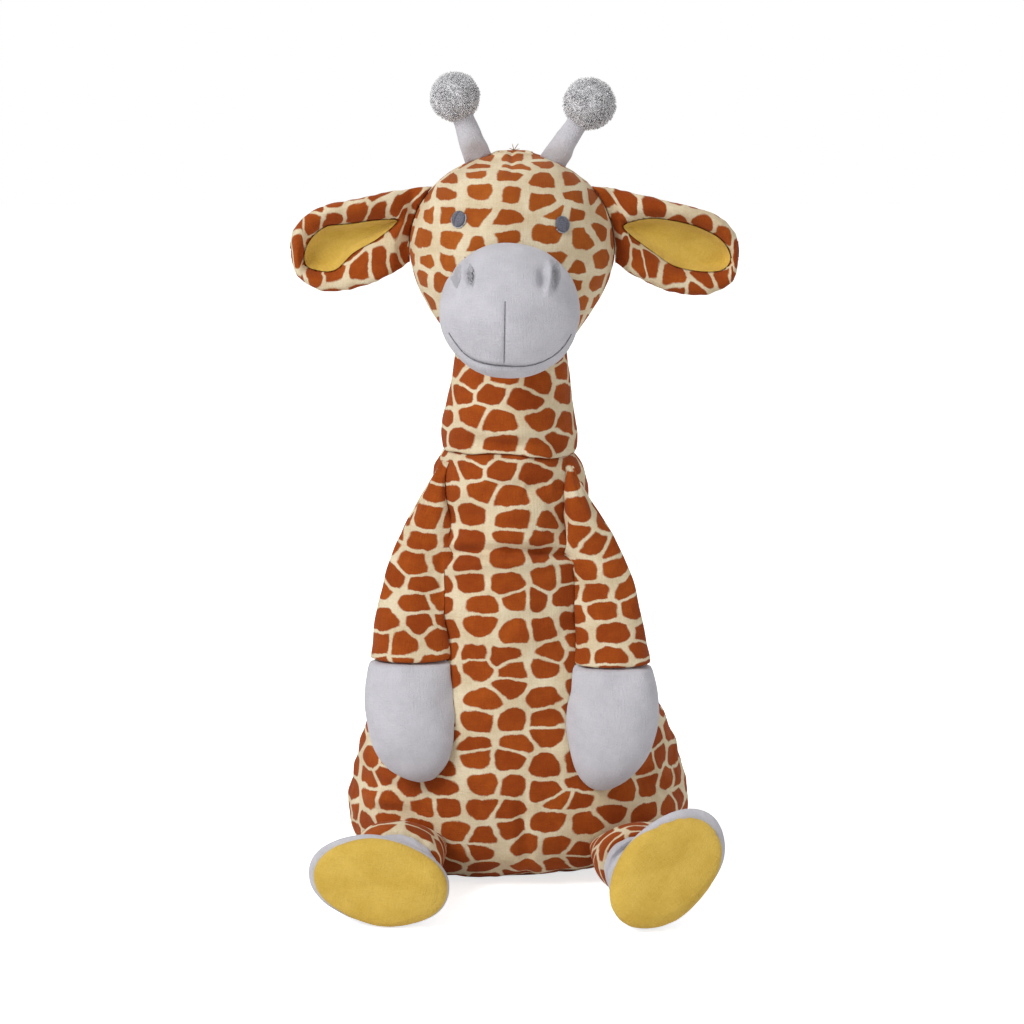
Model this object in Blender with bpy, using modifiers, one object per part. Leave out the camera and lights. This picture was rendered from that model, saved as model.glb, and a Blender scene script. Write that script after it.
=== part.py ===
"""Seated plush giraffe: a pear-shaped bean-bag body, a thick neck, a round head with a grey muzzle,
cupped ears, two horns with pompoms, hanging arms with grey paws, short legs with feet and a tail.

Metres, +Z up. The toy faces -Y and its own left side is +X. The origin is the middle of the flat seat.
"""
import math
from collections import namedtuple

import bmesh
import bpy
import numpy as np
from mathutils import Matrix, Vector

# General clearances
GAP = 0.0003
FILLING_GAP = 0.0006
OVERRUN = 0.02
OVERRUN_SHARE = 0.5
SKIN_THICK = 0.002
SEAT_FLAT_DEPTH = 0.0005

# Body
BODY_HEIGHT = 0.222
BODY_HALF_WIDTH = 0.0865
BODY_HALF_DEPTH = 0.065
BODY_BASE_SHIFT = 0.0048
BODY_TOP_SHIFT = -0.0015
BODY_SHARES = (  # height, half width, half depth
    (0.000, 0.500, 0.500),
    (0.030, 0.830, 0.820),
    (0.105, 0.985, 0.985),
    (0.230, 0.965, 0.990),
    (0.395, 0.815, 0.890),
    (0.580, 0.625, 0.735),
    (0.780, 0.495, 0.610),
    (0.930, 0.415, 0.525),
    (0.998, 0.240, 0.300),
)
BODY_HOLE_RADIUS = 0.016
BODY_HOLE_DEPTH = 0.012

# Pellet bag inside the seat
PELLET_BAG_HEIGHT = 0.035
PELLET_BAG_HALF_WIDTH = 0.064
PELLET_BAG_HALF_DEPTH = 0.045
PELLET_BAG_SHARES = ((0.0, 0.55), (0.25, 0.95), (0.70, 0.95), (1.0, 0.45))

# Neck
NECK_HALF_WIDTH = 0.034
NECK_HALF_DEPTH = 0.0315
NECK_HEIGHT = 0.0805
NECK_SINK = 0.020
NECK_SHARES = ((0.0, 0.93, 0.95), (0.24, 1.0, 1.0), (0.47, 0.92, 0.92), (0.74, 0.83, 0.83), (1.0, 0.80, 0.78))
NECK_FOLD_SETBACK = 0.0045
CREASE_SHARE = 0.17

# Head
HEAD_HALF_WIDTH = 0.0504
HEAD_HALF_DEPTH = 0.048
HEAD_HEIGHT = 0.103
HEAD_FORWARD = 0.008
HEAD_SINK = 0.024
HEAD_SHARES = (  # height, half width, half depth, forward
    (0.000, 0.300, 0.360, 1.2),
    (0.110, 0.580, 0.700, 1.2),
    (0.290, 0.840, 0.910, 1.0),
    (0.510, 1.000, 1.000, 0.9),
    (0.750, 0.900, 0.900, 0.8),
    (0.915, 0.580, 0.610, 0.7),
    (0.988, 0.220, 0.250, 0.7),
)
HEAD_HOLE_RADIUS = 0.014
NAPE_SETBACK = 0.002

# Muzzle
MUZZLE_HALF_WIDTH = 0.0335
MUZZLE_HALF_HEIGHT = 0.0322
MUZZLE_LENGTH = 0.062
MUZZLE_CENTRE_BELOW_HEAD_MIDDLE = 0.0165
MUZZLE_DROP = 0.004
MUZZLE_SHARES = (  # length, half width, half height
    (0.00, 0.84, 0.84),
    (0.28, 0.93, 0.94),
    (0.52, 1.00, 1.00),
    (0.74, 0.95, 0.93),
    (0.91, 0.72, 0.70),
    (1.00, 0.34, 0.32),
)

# Nostrils and eyes
NOSTRIL_HALF_WIDTH = 0.0036
NOSTRIL_HALF_HEIGHT = 0.0075
NOSTRIL_THICK = 0.0016
NOSTRIL_SPREAD = 0.0240
NOSTRIL_ABOVE_MUZZLE_MIDDLE = 0.0170
NOSTRIL_LEAN = math.radians(12)
EYE_HALF_WIDTH = 0.0040
EYE_HALF_HEIGHT = 0.0050
EYE_THICK = 0.0013
EYE_SPREAD = 0.0250
EYE_ABOVE_HEAD_MIDDLE = 0.0215
EYE_LEAN = math.radians(12)

# Ears
LEFT_EAR_REACH = 0.0665
RIGHT_EAR_REACH = 0.0635
EAR_REACH = {1: LEFT_EAR_REACH, -1: RIGHT_EAR_REACH}
EAR_HALF_HEIGHT = 0.0222
EAR_HALF_THICK = 0.0045
EAR_CUP = 0.0085
EAR_ROOT_HALF_THICK = 0.0009
EAR_ROOT_ABOVE_HEAD_MIDDLE = 0.0175
LEFT_EAR_DROOP = 0.0178
RIGHT_EAR_DROOP = 0.0153
EAR_DROOP = {1: LEFT_EAR_DROOP, -1: RIGHT_EAR_DROOP}
EAR_SWEEP_BACK = 0.004
EAR_FOLD_LIMIT = math.radians(25)
EAR_SHARES = (  # reach, half height, drop, thickness and cup
    (0.00, 0.80, 0.00, 0.00),
    (0.14, 0.87, 0.18, 0.62),
    (0.38, 0.96, 0.55, 1.00),
    (0.64, 0.97, 0.82, 1.00),
    (0.85, 0.70, 0.97, 0.85),
    (0.98, 0.28, 1.02, 0.55),
)
LINING_THICK = 0.0014
LINING_SHARES = ((0.14, 0.40), (0.38, 0.62), (0.64, 0.66), (0.82, 0.44), (0.93, 0.20))

# Horns and pompoms
HORN_ROOT_HALF_WIDTH = 0.0073
HORN_ROOT_HALF_THICK = 0.0008
HORN_TIP_RADIUS = 0.0052
LEFT_HORN_LENGTH = 0.0250
RIGHT_HORN_LENGTH = 0.0248
HORN_LENGTH = {1: LEFT_HORN_LENGTH, -1: RIGHT_HORN_LENGTH}
LEFT_HORN_SPREAD = 0.0205
RIGHT_HORN_SPREAD = 0.0165
HORN_SPREAD = {1: LEFT_HORN_SPREAD, -1: RIGHT_HORN_SPREAD}
HORN_LEAN = {1: math.radians(32), -1: math.radians(21)}
HORN_SHARES = ((-0.10, 1.0, 0.0), (0.12, 0.97, 0.35), (0.40, 0.86, 1.0), (0.75, 0.76, 1.0), (1.12, 0.72, 1.0))
LEFT_POMPOM_RADIUS = 0.0123
RIGHT_POMPOM_RADIUS = 0.0116
POMPOM_RADIUS = {1: LEFT_POMPOM_RADIUS, -1: RIGHT_POMPOM_RADIUS}
POMPOM_SEAT = 0.0040
HORN_BEND_LIMIT = math.radians(15)

# Arms and paws
SHOULDER_HEIGHT = 0.2030
ARM_LENGTH = 0.1455
ARM_HALF_WIDTH = 0.0222
ARM_HALF_THICK = 0.0140
ARM_SPREAD = 0.0500
ARM_PRESS_SHARE = 0.75
ARM_SHARES = {  # down the arm, distance from the middle, half width, half thickness
    1: (
        (0.00, 0.58, 0.16, 0.26), (0.10, 0.62, 0.30, 0.48), (0.26, 0.77, 0.59, 0.72), (0.42, 0.88, 0.74, 0.85),
        (0.58, 0.95, 0.84, 0.95), (0.74, 0.96, 0.97, 1.00), (0.90, 0.93, 0.88, 0.84), (1.01, 0.90, 0.46, 0.42),
    ),
    -1: (
        (0.00, 0.70, 0.16, 0.26), (0.10, 0.75, 0.32, 0.48), (0.26, 0.89, 0.58, 0.72), (0.42, 0.98, 0.73, 0.85),
        (0.58, 1.01, 0.86, 0.95), (0.74, 0.98, 0.98, 1.00), (0.90, 0.92, 0.87, 0.84), (1.00, 0.88, 0.46, 0.42),
    ),
}
PAW_SEAM_SHARE = {1: 0.605, -1: 0.585}
SHOULDER_ABOVE = 0.0010

# Legs, feet and soles
HIP_HEIGHT = 0.0250
LEG_REACH = 0.0360
LEG_HALF_WIDTH = 0.0230
LEG_HALF_HEIGHT = 0.0205
LEG_ROOT_HALF_HEIGHT = 0.0012
LEFT_HIP_SPREAD = 0.0560
RIGHT_HIP_SPREAD = 0.0520
HIP_SPREAD = {1: LEFT_HIP_SPREAD, -1: RIGHT_HIP_SPREAD}
LEFT_SOLE_SPREAD = 0.0757
RIGHT_SOLE_SPREAD = 0.0643
SOLE_SPREAD = {1: LEFT_SOLE_SPREAD, -1: RIGHT_SOLE_SPREAD}
LEFT_SOLE_HEIGHT = 0.0280
RIGHT_SOLE_HEIGHT = 0.0225
SOLE_HEIGHT = {1: LEFT_SOLE_HEIGHT, -1: RIGHT_SOLE_HEIGHT}
SOLE_TURN = {1: math.radians(42), -1: math.radians(-9)}
FOOT_LENGTH = 0.0330
FOOT_HALF_LENGTH = 0.0342
FOOT_HALF_HEIGHT = 0.0232
ANKLE_SHARE = 0.6
SOLE_SEAT_SHARE = 1 / 3
LEG_SHARES = ((-0.08, 0.90, 0.0), (0.20, 0.93, 0.42), (0.55, 1.0, 1.0), (1.00, 1.0, 1.0))
FOOT_SHARES = ((0.24, 0.80, 0.85), (0.62, 0.95, 0.94), (1.00, 1.00, 1.00), (1.12, 0.84, 0.82))
SOLE_THICK = 0.0016
SOLE_EDGE = 0.0030
LEG_RAISE_LIMIT = math.radians(12)
LEG_DROP_LIMIT = math.radians(40)

# Tail
TAIL_ROOT_HEIGHT = 0.0600
TAIL_LENGTH = 0.0440
TAIL_RADIUS = 0.0048
TAIL_ROOT_HALF_THICK = 0.0010
TUFT_LENGTH = 0.0210
TUFT_RADIUS = 0.0082
TUFT_START_SHARE = 0.72
TUFT_LIFT_SHARE = 0.8
TAIL_LIFT_LIMIT = math.radians(80)
TAIL_SHARES = ((-0.06, 1.2, 0.0), (0.15, 1.05, 0.5), (0.45, 1.0, 1.0), (1.02, 0.95, 1.0))
TUFT_SHARES = ((0.02, 0.60), (0.30, 1.0), (0.70, 0.95), (0.98, 0.45))

# Counts of faces round and along the forms
BODY_SIDES = 8
LIMB_SIDES = 8
HORN_SIDES = 6
FINE_LEVELS = 2
PLAIN_LEVELS = 1
DISC_SIDES = 24
RELIEF_STEPS = 2
SMOOTH_STEPS = 8

# Colours, linear
BROWN_PRINT = (0.55, 0.21, 0.06)
GREY_PLUSH = (0.56, 0.55, 0.60)
YELLOW_PLUSH = (0.70, 0.44, 0.09)
SLATE_THREAD = (0.10, 0.10, 0.13)
WHITE_FILLING = (0.85, 0.85, 0.83)
CANVAS = (0.62, 0.58, 0.50)

X_AXIS = Vector((1, 0, 0))
Y_AXIS = Vector((0, 1, 0))
Z_AXIS = Vector((0, 0, 1))
SIDE_NAMES = {1: "left", -1: "right"}
Ring = namedtuple("Ring", "centre across through bend turn", defaults=(0.0, 0.0))

for old in list(bpy.data.objects):
    bpy.data.objects.remove(old)
PARTS = bpy.data.collections.new("plush_giraffe")
CUTTERS = bpy.data.collections.new("cutters")
bpy.context.scene.collection.children.link(PARTS)
bpy.context.scene.collection.children.link(CUTTERS)


# Helpers for soft forms
def material(name, colour, roughness=0.9):
    """A matte fabric of one colour."""
    made = bpy.data.materials.new(name)
    made.use_nodes = True
    shader = made.node_tree.nodes["Principled BSDF"]
    shader.inputs["Base Color"].default_value = (*colour, 1)
    shader.inputs["Roughness"].default_value = roughness
    made.diffuse_color = (*colour, 1)
    return made


def cage_through(values):
    """Cage values whose smoothed curve passes through the given ones."""
    wanted = np.array(values, dtype=float)
    count = len(wanted)
    system = np.eye(count)
    for i in range(1, count - 1):
        system[i, i - 1:i + 2] = (1 / 6, 4 / 6, 1 / 6)
    return np.linalg.solve(system, wanted)


def loft(name, rings, sides, reference):
    """A closed coarse cage through oval rings, made so that its smooth surface has the rings' sizes."""
    centres = cage_through([tuple(ring.centre) for ring in rings])
    sizes = cage_through([(ring.across, ring.through, ring.bend) for ring in rings])
    shrink = (2 + math.cos(math.tau / sides)) / 3
    shrink_bend = (2 + math.cos(2 * math.tau / sides)) / 3
    bm = bmesh.new()
    rows = []
    for i, ring in enumerate(rings):
        before, after = max(i - 1, 0), min(i + 1, len(rings) - 1)
        along = Vector(centres[after] - centres[before]).normalized()
        u = reference.cross(along).normalized()
        v = along.cross(u)
        turned = Matrix.Rotation(ring.turn, 3, along)
        u, v = turned @ u, turned @ v
        across, through, bend = sizes[i]
        row = []
        for k in range(sides):
            angle = math.tau * k / sides
            bent = bend * (1 + math.cos(2 * angle) / shrink_bend) / 2
            side_step = u * (across / shrink * math.cos(angle))
            through_step = v * (through / shrink * math.sin(angle) + bent)
            row.append(bm.verts.new(Vector(centres[i]) + side_step + through_step))
        rows.append(row)
    for low, high in zip(rows, rows[1:]):
        for k in range(sides):
            j = (k + 1) % sides
            bm.faces.new((low[k], low[j], high[j], high[k]))
    bm.faces.new(list(reversed(rows[0])))
    bm.faces.new(rows[-1])
    bmesh.ops.recalc_face_normals(bm, faces=bm.faces)
    mesh = bpy.data.meshes.new(name)
    bm.to_mesh(mesh)
    bm.free()
    mesh.shade_smooth()
    return mesh


def soft(name, mesh, levels, grow=0.0, cutter=False, finish=None):
    """An object of a cage, smoothed, and grown or shrunk along its normals."""
    made = bpy.data.objects.new(name, mesh if finish is None else mesh.copy())
    if finish is not None:
        made.data.materials.append(finish)
    (CUTTERS if cutter else PARTS).objects.link(made)
    smoothing = made.modifiers.new("smooth", "SUBSURF")
    smoothing.levels = smoothing.render_levels = levels
    if grow:
        growth = made.modifiers.new("grow", "DISPLACE")
        growth.strength = grow
        growth.mid_level = 0
    if cutter:
        hide_cutter(made)
    return made


def hide_cutter(made):
    """A cutter shows as wires and isn't rendered."""
    made.hide_render = True
    made.display_type = "WIRE"


def solid_mesh(name, bm, place, cutter, finish=None):
    """An object of a bmesh, at a place given as a matrix."""
    bm.transform(place)
    mesh = bpy.data.meshes.new(name)
    bm.to_mesh(mesh)
    bm.free()
    made = bpy.data.objects.new(name, mesh)
    (CUTTERS if cutter else PARTS).objects.link(made)
    if finish is not None:
        mesh.materials.append(finish)
    if cutter:
        hide_cutter(made)
    return made


def cutter_box(name, low, high, place=Matrix.Identity(4)):
    """A cutting block between two corners of its own frame."""
    bm = bmesh.new()
    bmesh.ops.create_cube(bm, size=1)
    size = Vector(high) - Vector(low)
    middle = (Vector(high) + Vector(low)) / 2
    return solid_mesh(name, bm, place @ Matrix.Translation(middle) @ Matrix.Diagonal((*size, 1)), True)


def cutter_disc(name, place, half_width, half_height, depth):
    """An oval cutting plug about the local Z axis, from its base up."""
    bm = bmesh.new()
    bmesh.ops.create_cone(bm, cap_ends=True, segments=DISC_SIDES, radius1=1, radius2=1, depth=1)
    lift = Matrix.Translation((0, 0, depth / 2))
    return solid_mesh(name, bm, place @ lift @ Matrix.Diagonal((half_width, half_height, depth, 1)), True)


def combine(target, cutter, operation="DIFFERENCE"):
    """One exact Boolean on the target."""
    step = target.modifiers.new(operation.lower() + "_" + cutter.name, "BOOLEAN")
    step.operation = operation
    step.solver = "EXACT"
    step.object = cutter


def relieve(piece, cage, pivot, axis, limits):
    """Cuts the piece back where it would press into a form as it turns about its seam, up to its limits."""
    for limit in limits:
        for step in range(1, RELIEF_STEPS + 1):
            turn = Matrix.Rotation(-limit * step / RELIEF_STEPS, 4, axis)
            turned = soft(f"{piece.name}_relief", cage, FINE_LEVELS, GAP, cutter=True)
            turned.matrix_world = Matrix.Translation(pivot) @ turn @ Matrix.Translation(-pivot)
            combine(piece, turned)


def smooth_rows(rows):
    """A table's rows with more rows between them, on the curves that the smoothed form follows."""
    cage = cage_through(rows)
    cage = np.vstack([2 * cage[0] - cage[1], cage, 2 * cage[-1] - cage[-2]])
    fine = []
    for i in range(len(rows) - 1):
        for t in np.arange(SMOOTH_STEPS) / SMOOTH_STEPS:
            first, second = (1 - t) ** 3, 3 * t ** 3 - 6 * t ** 2 + 4
            third, fourth = 3 * (t + t ** 2 - t ** 3) + 1, t ** 3
            fine.append(np.array([first, second, third, fourth]) / 6 @ cage[i:i + 4])
    return np.array(fine + [rows[-1]])


def between(rows, at, column):
    """A table's value between its rows."""
    rows = np.array(rows)
    return float(np.interp(at, rows[:, 0], rows[:, column]))


def joint_frame(name, place, children):
    """An empty on a joint's axis that carries a body's pieces."""
    empty = bpy.data.objects.new(name, None)
    empty.location = place
    empty.empty_display_size = GAP
    PARTS.objects.link(empty)
    for child in children:
        child.parent = empty
        child.matrix_parent_inverse = Matrix.Translation(place).inverted()
    return empty


# Places on the main forms
SMOOTH_BODY_SHARES = smooth_rows(BODY_SHARES)
SMOOTH_HEAD_SHARES = smooth_rows(HEAD_SHARES)


def body_half_sizes(height):
    """The body's half width and half depth at a height."""
    at = height / BODY_HEIGHT
    width_share, depth_share = between(SMOOTH_BODY_SHARES, at, 1), between(SMOOTH_BODY_SHARES, at, 2)
    return BODY_HALF_WIDTH * width_share, BODY_HALF_DEPTH * depth_share


def body_shift(height):
    """How far the body leans to its left at a height."""
    return BODY_BASE_SHIFT + (BODY_TOP_SHIFT - BODY_BASE_SHIFT) * min(1, height / (BODY_HEIGHT / 2))


def body_front(x, height):
    """The y of the body's front at a place across it."""
    half_width, half_depth = body_half_sizes(height)
    share = min(1, abs(x - body_shift(height)) / half_width)
    return -half_depth * math.sqrt(1 - share * share)


NECK_BOTTOM = BODY_HEIGHT - NECK_SINK
NECK_TOP = NECK_BOTTOM + NECK_HEIGHT
CREASE_HEIGHT = NECK_BOTTOM + NECK_HEIGHT * CREASE_SHARE
HEAD_BOTTOM = NECK_TOP - HEAD_SINK
HEAD_MIDDLE = HEAD_BOTTOM + HEAD_HEIGHT / 2


def head_half_sizes(height):
    """The head's half width and half depth at a height."""
    at = (height - HEAD_BOTTOM) / HEAD_HEIGHT
    width_share, depth_share = between(SMOOTH_HEAD_SHARES, at, 1), between(SMOOTH_HEAD_SHARES, at, 2)
    return HEAD_HALF_WIDTH * width_share, HEAD_HALF_DEPTH * depth_share


def head_top(x):
    """The height of the head's crown at a distance from the middle."""
    widest = int(np.argmax(SMOOTH_HEAD_SHARES[:, 1]))
    crown = SMOOTH_HEAD_SHARES[widest:][::-1]
    height_share = float(np.interp(abs(x) / HEAD_HALF_WIDTH, crown[:, 1], crown[:, 0]))
    return HEAD_BOTTOM + HEAD_HEIGHT * height_share


# Finishes
PRINT = material("giraffe_print", BROWN_PRINT)
GREY = material("grey_plush", GREY_PLUSH)
YELLOW = material("yellow_plush", YELLOW_PLUSH)
THREAD = material("slate_thread", SLATE_THREAD)
FILLING = material("polyester_filling", WHITE_FILLING)
PELLETS = material("pellet_bag_canvas", CANVAS)

# Cages of the main forms
body_rings = []
for height_share, width_share, depth_share in BODY_SHARES:
    z = height_share * (BODY_HEIGHT + SEAT_FLAT_DEPTH) - SEAT_FLAT_DEPTH
    body_rings.append(Ring(Vector((body_shift(max(z, 0)), 0, z)),
                           BODY_HALF_WIDTH * width_share, BODY_HALF_DEPTH * depth_share))
BODY_CAGE = loft("body_cage", body_rings, BODY_SIDES, Y_AXIS)

head_rings = []
for height_share, width_share, depth_share, forward_share in HEAD_SHARES:
    middle = Vector((0, -HEAD_FORWARD * forward_share, HEAD_BOTTOM + HEAD_HEIGHT * height_share))
    head_rings.append(Ring(middle, HEAD_HALF_WIDTH * width_share, HEAD_HALF_DEPTH * depth_share))
HEAD_CAGE = loft("head_cage", head_rings, BODY_SIDES, Y_AXIS)

muzzle_rings = []
muzzle_back = -(HEAD_FORWARD + HEAD_HALF_DEPTH) + MUZZLE_LENGTH * MUZZLE_SHARES[1][0] / 2
for length_share, width_share, height_share in MUZZLE_SHARES:
    middle = Vector((0, muzzle_back - MUZZLE_LENGTH * length_share,
                     HEAD_MIDDLE - MUZZLE_CENTRE_BELOW_HEAD_MIDDLE - MUZZLE_DROP * length_share))
    muzzle_rings.append(Ring(middle, MUZZLE_HALF_WIDTH * width_share, MUZZLE_HALF_HEIGHT * height_share))
MUZZLE_CAGE = loft("muzzle_cage", muzzle_rings, BODY_SIDES, Z_AXIS)

BODY_GROWN = soft("body_clearance", BODY_CAGE, FINE_LEVELS, GAP, cutter=True)
HEAD_GROWN = soft("head_clearance", HEAD_CAGE, FINE_LEVELS, GAP, cutter=True)
MUZZLE_GROWN = soft("muzzle_clearance", MUZZLE_CAGE, FINE_LEVELS, GAP, cutter=True)
FLOOR_REACH = Vector((BODY_HALF_WIDTH + FOOT_HALF_LENGTH, BODY_HALF_DEPTH + LEG_REACH + FOOT_LENGTH, 0))
FLOOR_REACH *= 1 + OVERRUN_SHARE
FLOOR = cutter_box("floor_clearance", (-FLOOR_REACH.x, -FLOOR_REACH.y, -FOOT_HALF_HEIGHT),
                   (FLOOR_REACH.x, FLOOR_REACH.y, 0))


# Body
def build_body():
    """The skin with its neck hole, the filling and the pellet bag in the seat."""
    skin = soft("body_skin", BODY_CAGE, FINE_LEVELS, finish=PRINT)
    combine(skin, FLOOR)
    combine(skin, soft("body_hollow", BODY_CAGE, PLAIN_LEVELS, -SKIN_THICK, cutter=True))
    hole_place = Matrix.Translation((BODY_TOP_SHIFT, 0, BODY_HEIGHT - BODY_HOLE_DEPTH))
    combine(skin, cutter_disc("body_hole", hole_place, BODY_HOLE_RADIUS, BODY_HOLE_RADIUS, OVERRUN * 2))
    filling = soft("body_stuffing", BODY_CAGE, PLAIN_LEVELS, -SKIN_THICK - FILLING_GAP, finish=FILLING)
    bag_floor = -SEAT_FLAT_DEPTH
    bag_rings = []
    for height_share, width_share in PELLET_BAG_SHARES:
        bag_rings.append(Ring(Vector((BODY_BASE_SHIFT, 0, bag_floor + PELLET_BAG_HEIGHT * height_share)),
                              PELLET_BAG_HALF_WIDTH * width_share, PELLET_BAG_HALF_DEPTH * width_share))
    bag_cage = loft("pellet_bag_cage", bag_rings, LIMB_SIDES, Y_AXIS)
    bag = soft("pellet_bag", bag_cage, PLAIN_LEVELS, finish=PELLETS)
    inside = soft("body_inside", BODY_CAGE, PLAIN_LEVELS, -SKIN_THICK - FILLING_GAP, cutter=True)
    combine(bag, inside, "INTERSECT")
    combine(filling, soft("pellet_bag_clearance", bag_cage, PLAIN_LEVELS, GAP, cutter=True))
    return [skin, filling, bag]


# Neck
def build_neck():
    """The neck tube, cut by the body below it and by the head above it."""
    rings = []
    for height_share, width_share, depth_share in NECK_SHARES:
        middle = Vector((BODY_TOP_SHIFT * (1 - height_share), 0, NECK_BOTTOM + NECK_HEIGHT * height_share))
        rings.append(Ring(middle, NECK_HALF_WIDTH * width_share, NECK_HALF_DEPTH * depth_share))
    neck = soft("neck", loft("neck_cage", rings, BODY_SIDES, Y_AXIS), FINE_LEVELS, finish=PRINT)
    combine(neck, BODY_GROWN)
    combine(neck, HEAD_GROWN)
    return neck


# Head
def oval_patch(name, cage, grown, thickness, place, half_width, half_height, finish):
    """An oval pad that follows a form's surface, seated on its clearance."""
    pad = soft(name, cage, FINE_LEVELS, GAP + thickness, finish=finish)
    combine(pad, cutter_disc(name + "_outline", place, half_width, half_height, OVERRUN * 3), "INTERSECT")
    combine(pad, grown)
    return pad


def facing_front(x, y, z, lean):
    """A frame whose local Z looks to the front, leaning by an angle."""
    to_front = Matrix.Rotation(math.pi / 2, 4, "X")
    return Matrix.Translation((x, y, z)) @ Matrix.Rotation(lean, 4, "Y") @ to_front


def build_head():
    """The head's skin with its neck hole, its filling, the muzzle, nostrils and eyes."""
    skin = soft("head_skin", HEAD_CAGE, FINE_LEVELS, finish=PRINT)
    combine(skin, soft("head_hollow", HEAD_CAGE, PLAIN_LEVELS, -SKIN_THICK, cutter=True))
    hole_place = Matrix.Translation((0, -HEAD_FORWARD, HEAD_BOTTOM - OVERRUN))
    combine(skin, cutter_disc("head_hole", hole_place, HEAD_HOLE_RADIUS, HEAD_HOLE_RADIUS, OVERRUN * 2))
    filling = soft("head_stuffing", HEAD_CAGE, PLAIN_LEVELS, -SKIN_THICK - FILLING_GAP, finish=FILLING)
    muzzle = soft("muzzle", MUZZLE_CAGE, FINE_LEVELS, finish=GREY)
    combine(muzzle, HEAD_GROWN)
    pieces = [skin, filling, muzzle]
    muzzle_middle = muzzle_rings[2].centre
    for side, word in SIDE_NAMES.items():
        place = facing_front(side * NOSTRIL_SPREAD, muzzle_middle.y,
                             muzzle_middle.z + NOSTRIL_ABOVE_MUZZLE_MIDDLE, side * NOSTRIL_LEAN)
        pieces.append(oval_patch(word + "_nostril", MUZZLE_CAGE, MUZZLE_GROWN, NOSTRIL_THICK, place,
                                 NOSTRIL_HALF_WIDTH, NOSTRIL_HALF_HEIGHT, THREAD))
        place = facing_front(side * EYE_SPREAD, -HEAD_FORWARD,
                             HEAD_MIDDLE + EYE_ABOVE_HEAD_MIDDLE, side * EYE_LEAN)
        pieces.append(oval_patch(word + "_eye", HEAD_CAGE, HEAD_GROWN, EYE_THICK, place,
                                 EYE_HALF_WIDTH, EYE_HALF_HEIGHT, THREAD))
    return pieces


# Ears
def ear_root(side):
    """The middle of an ear's seam on the side of the head."""
    height = HEAD_MIDDLE + EAR_ROOT_ABOVE_HEAD_MIDDLE
    return Vector((side * head_half_sizes(height)[0], -HEAD_FORWARD, height))


def ear_axis(side):
    """The line of an ear's seam, along the side of the head; a turn about it folds the ear back."""
    low, high = HEAD_SHARES[3], HEAD_SHARES[4]
    lean = (high[1] - low[1]) * HEAD_HALF_WIDTH / ((high[0] - low[0]) * HEAD_HEIGHT)
    return (Vector((side * lean, 0, 1)) * side).normalized()


def ear_ring(side, reach_share, half_height, drop_share, through, bend, forward=0.0):
    """One ring of an ear at a share of its reach."""
    root = ear_root(side)
    reach = EAR_REACH[side] * reach_share
    back = EAR_SWEEP_BACK * reach_share - forward
    middle = root + Vector((side * reach, back, -EAR_DROOP[side] * drop_share))
    return Ring(middle, half_height, through, bend)


def build_ear(side):
    """A cupped ear, thin at its seam, and the lining that lies in the cup."""
    word = SIDE_NAMES[side]
    rings = []
    for reach_share, height_share, drop_share, thick_share in EAR_SHARES:
        through = EAR_ROOT_HALF_THICK + (EAR_HALF_THICK - EAR_ROOT_HALF_THICK) * thick_share
        rings.append(ear_ring(side, reach_share, EAR_HALF_HEIGHT * height_share, drop_share,
                              through, EAR_CUP * thick_share))
    cage = loft(word + "_ear_cage", rings, LIMB_SIDES, -Y_AXIS)
    ear = soft(word + "_ear", cage, PLAIN_LEVELS, finish=PRINT)
    combine(ear, HEAD_GROWN)
    relieve(ear, HEAD_CAGE, ear_root(side), ear_axis(side), (EAR_FOLD_LIMIT, -EAR_FOLD_LIMIT))
    lining_rings = []
    for reach_share, height_share in LINING_SHARES:
        thick = between(EAR_SHARES, reach_share, 3)
        drop_share = between(EAR_SHARES, reach_share, 2)
        through = (EAR_HALF_THICK + LINING_THICK) * thick / 2
        half_height = EAR_HALF_HEIGHT * height_share
        share = height_share / between(EAR_SHARES, reach_share, 1)
        rim = EAR_HALF_THICK * thick * math.sqrt(1 - share * share) + EAR_CUP * thick * share * share
        bend = rim + LINING_THICK / 2 - through
        lining_rings.append(ear_ring(side, reach_share, half_height, drop_share, through, bend, through))
    lining_cage = loft(word + "_lining_cage", lining_rings, LIMB_SIDES, -Y_AXIS)
    lining = soft(word + "_ear_lining", lining_cage, PLAIN_LEVELS, finish=YELLOW)
    combine(lining, soft(word + "_ear_clearance", cage, PLAIN_LEVELS, GAP, cutter=True))
    return [ear, lining]


# Horns
def horn_root(side):
    """The middle of a horn's seam on the crown."""
    return Vector((side * HORN_SPREAD[side], -HEAD_FORWARD * HEAD_SHARES[-2][3], head_top(HORN_SPREAD[side])))


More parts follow.
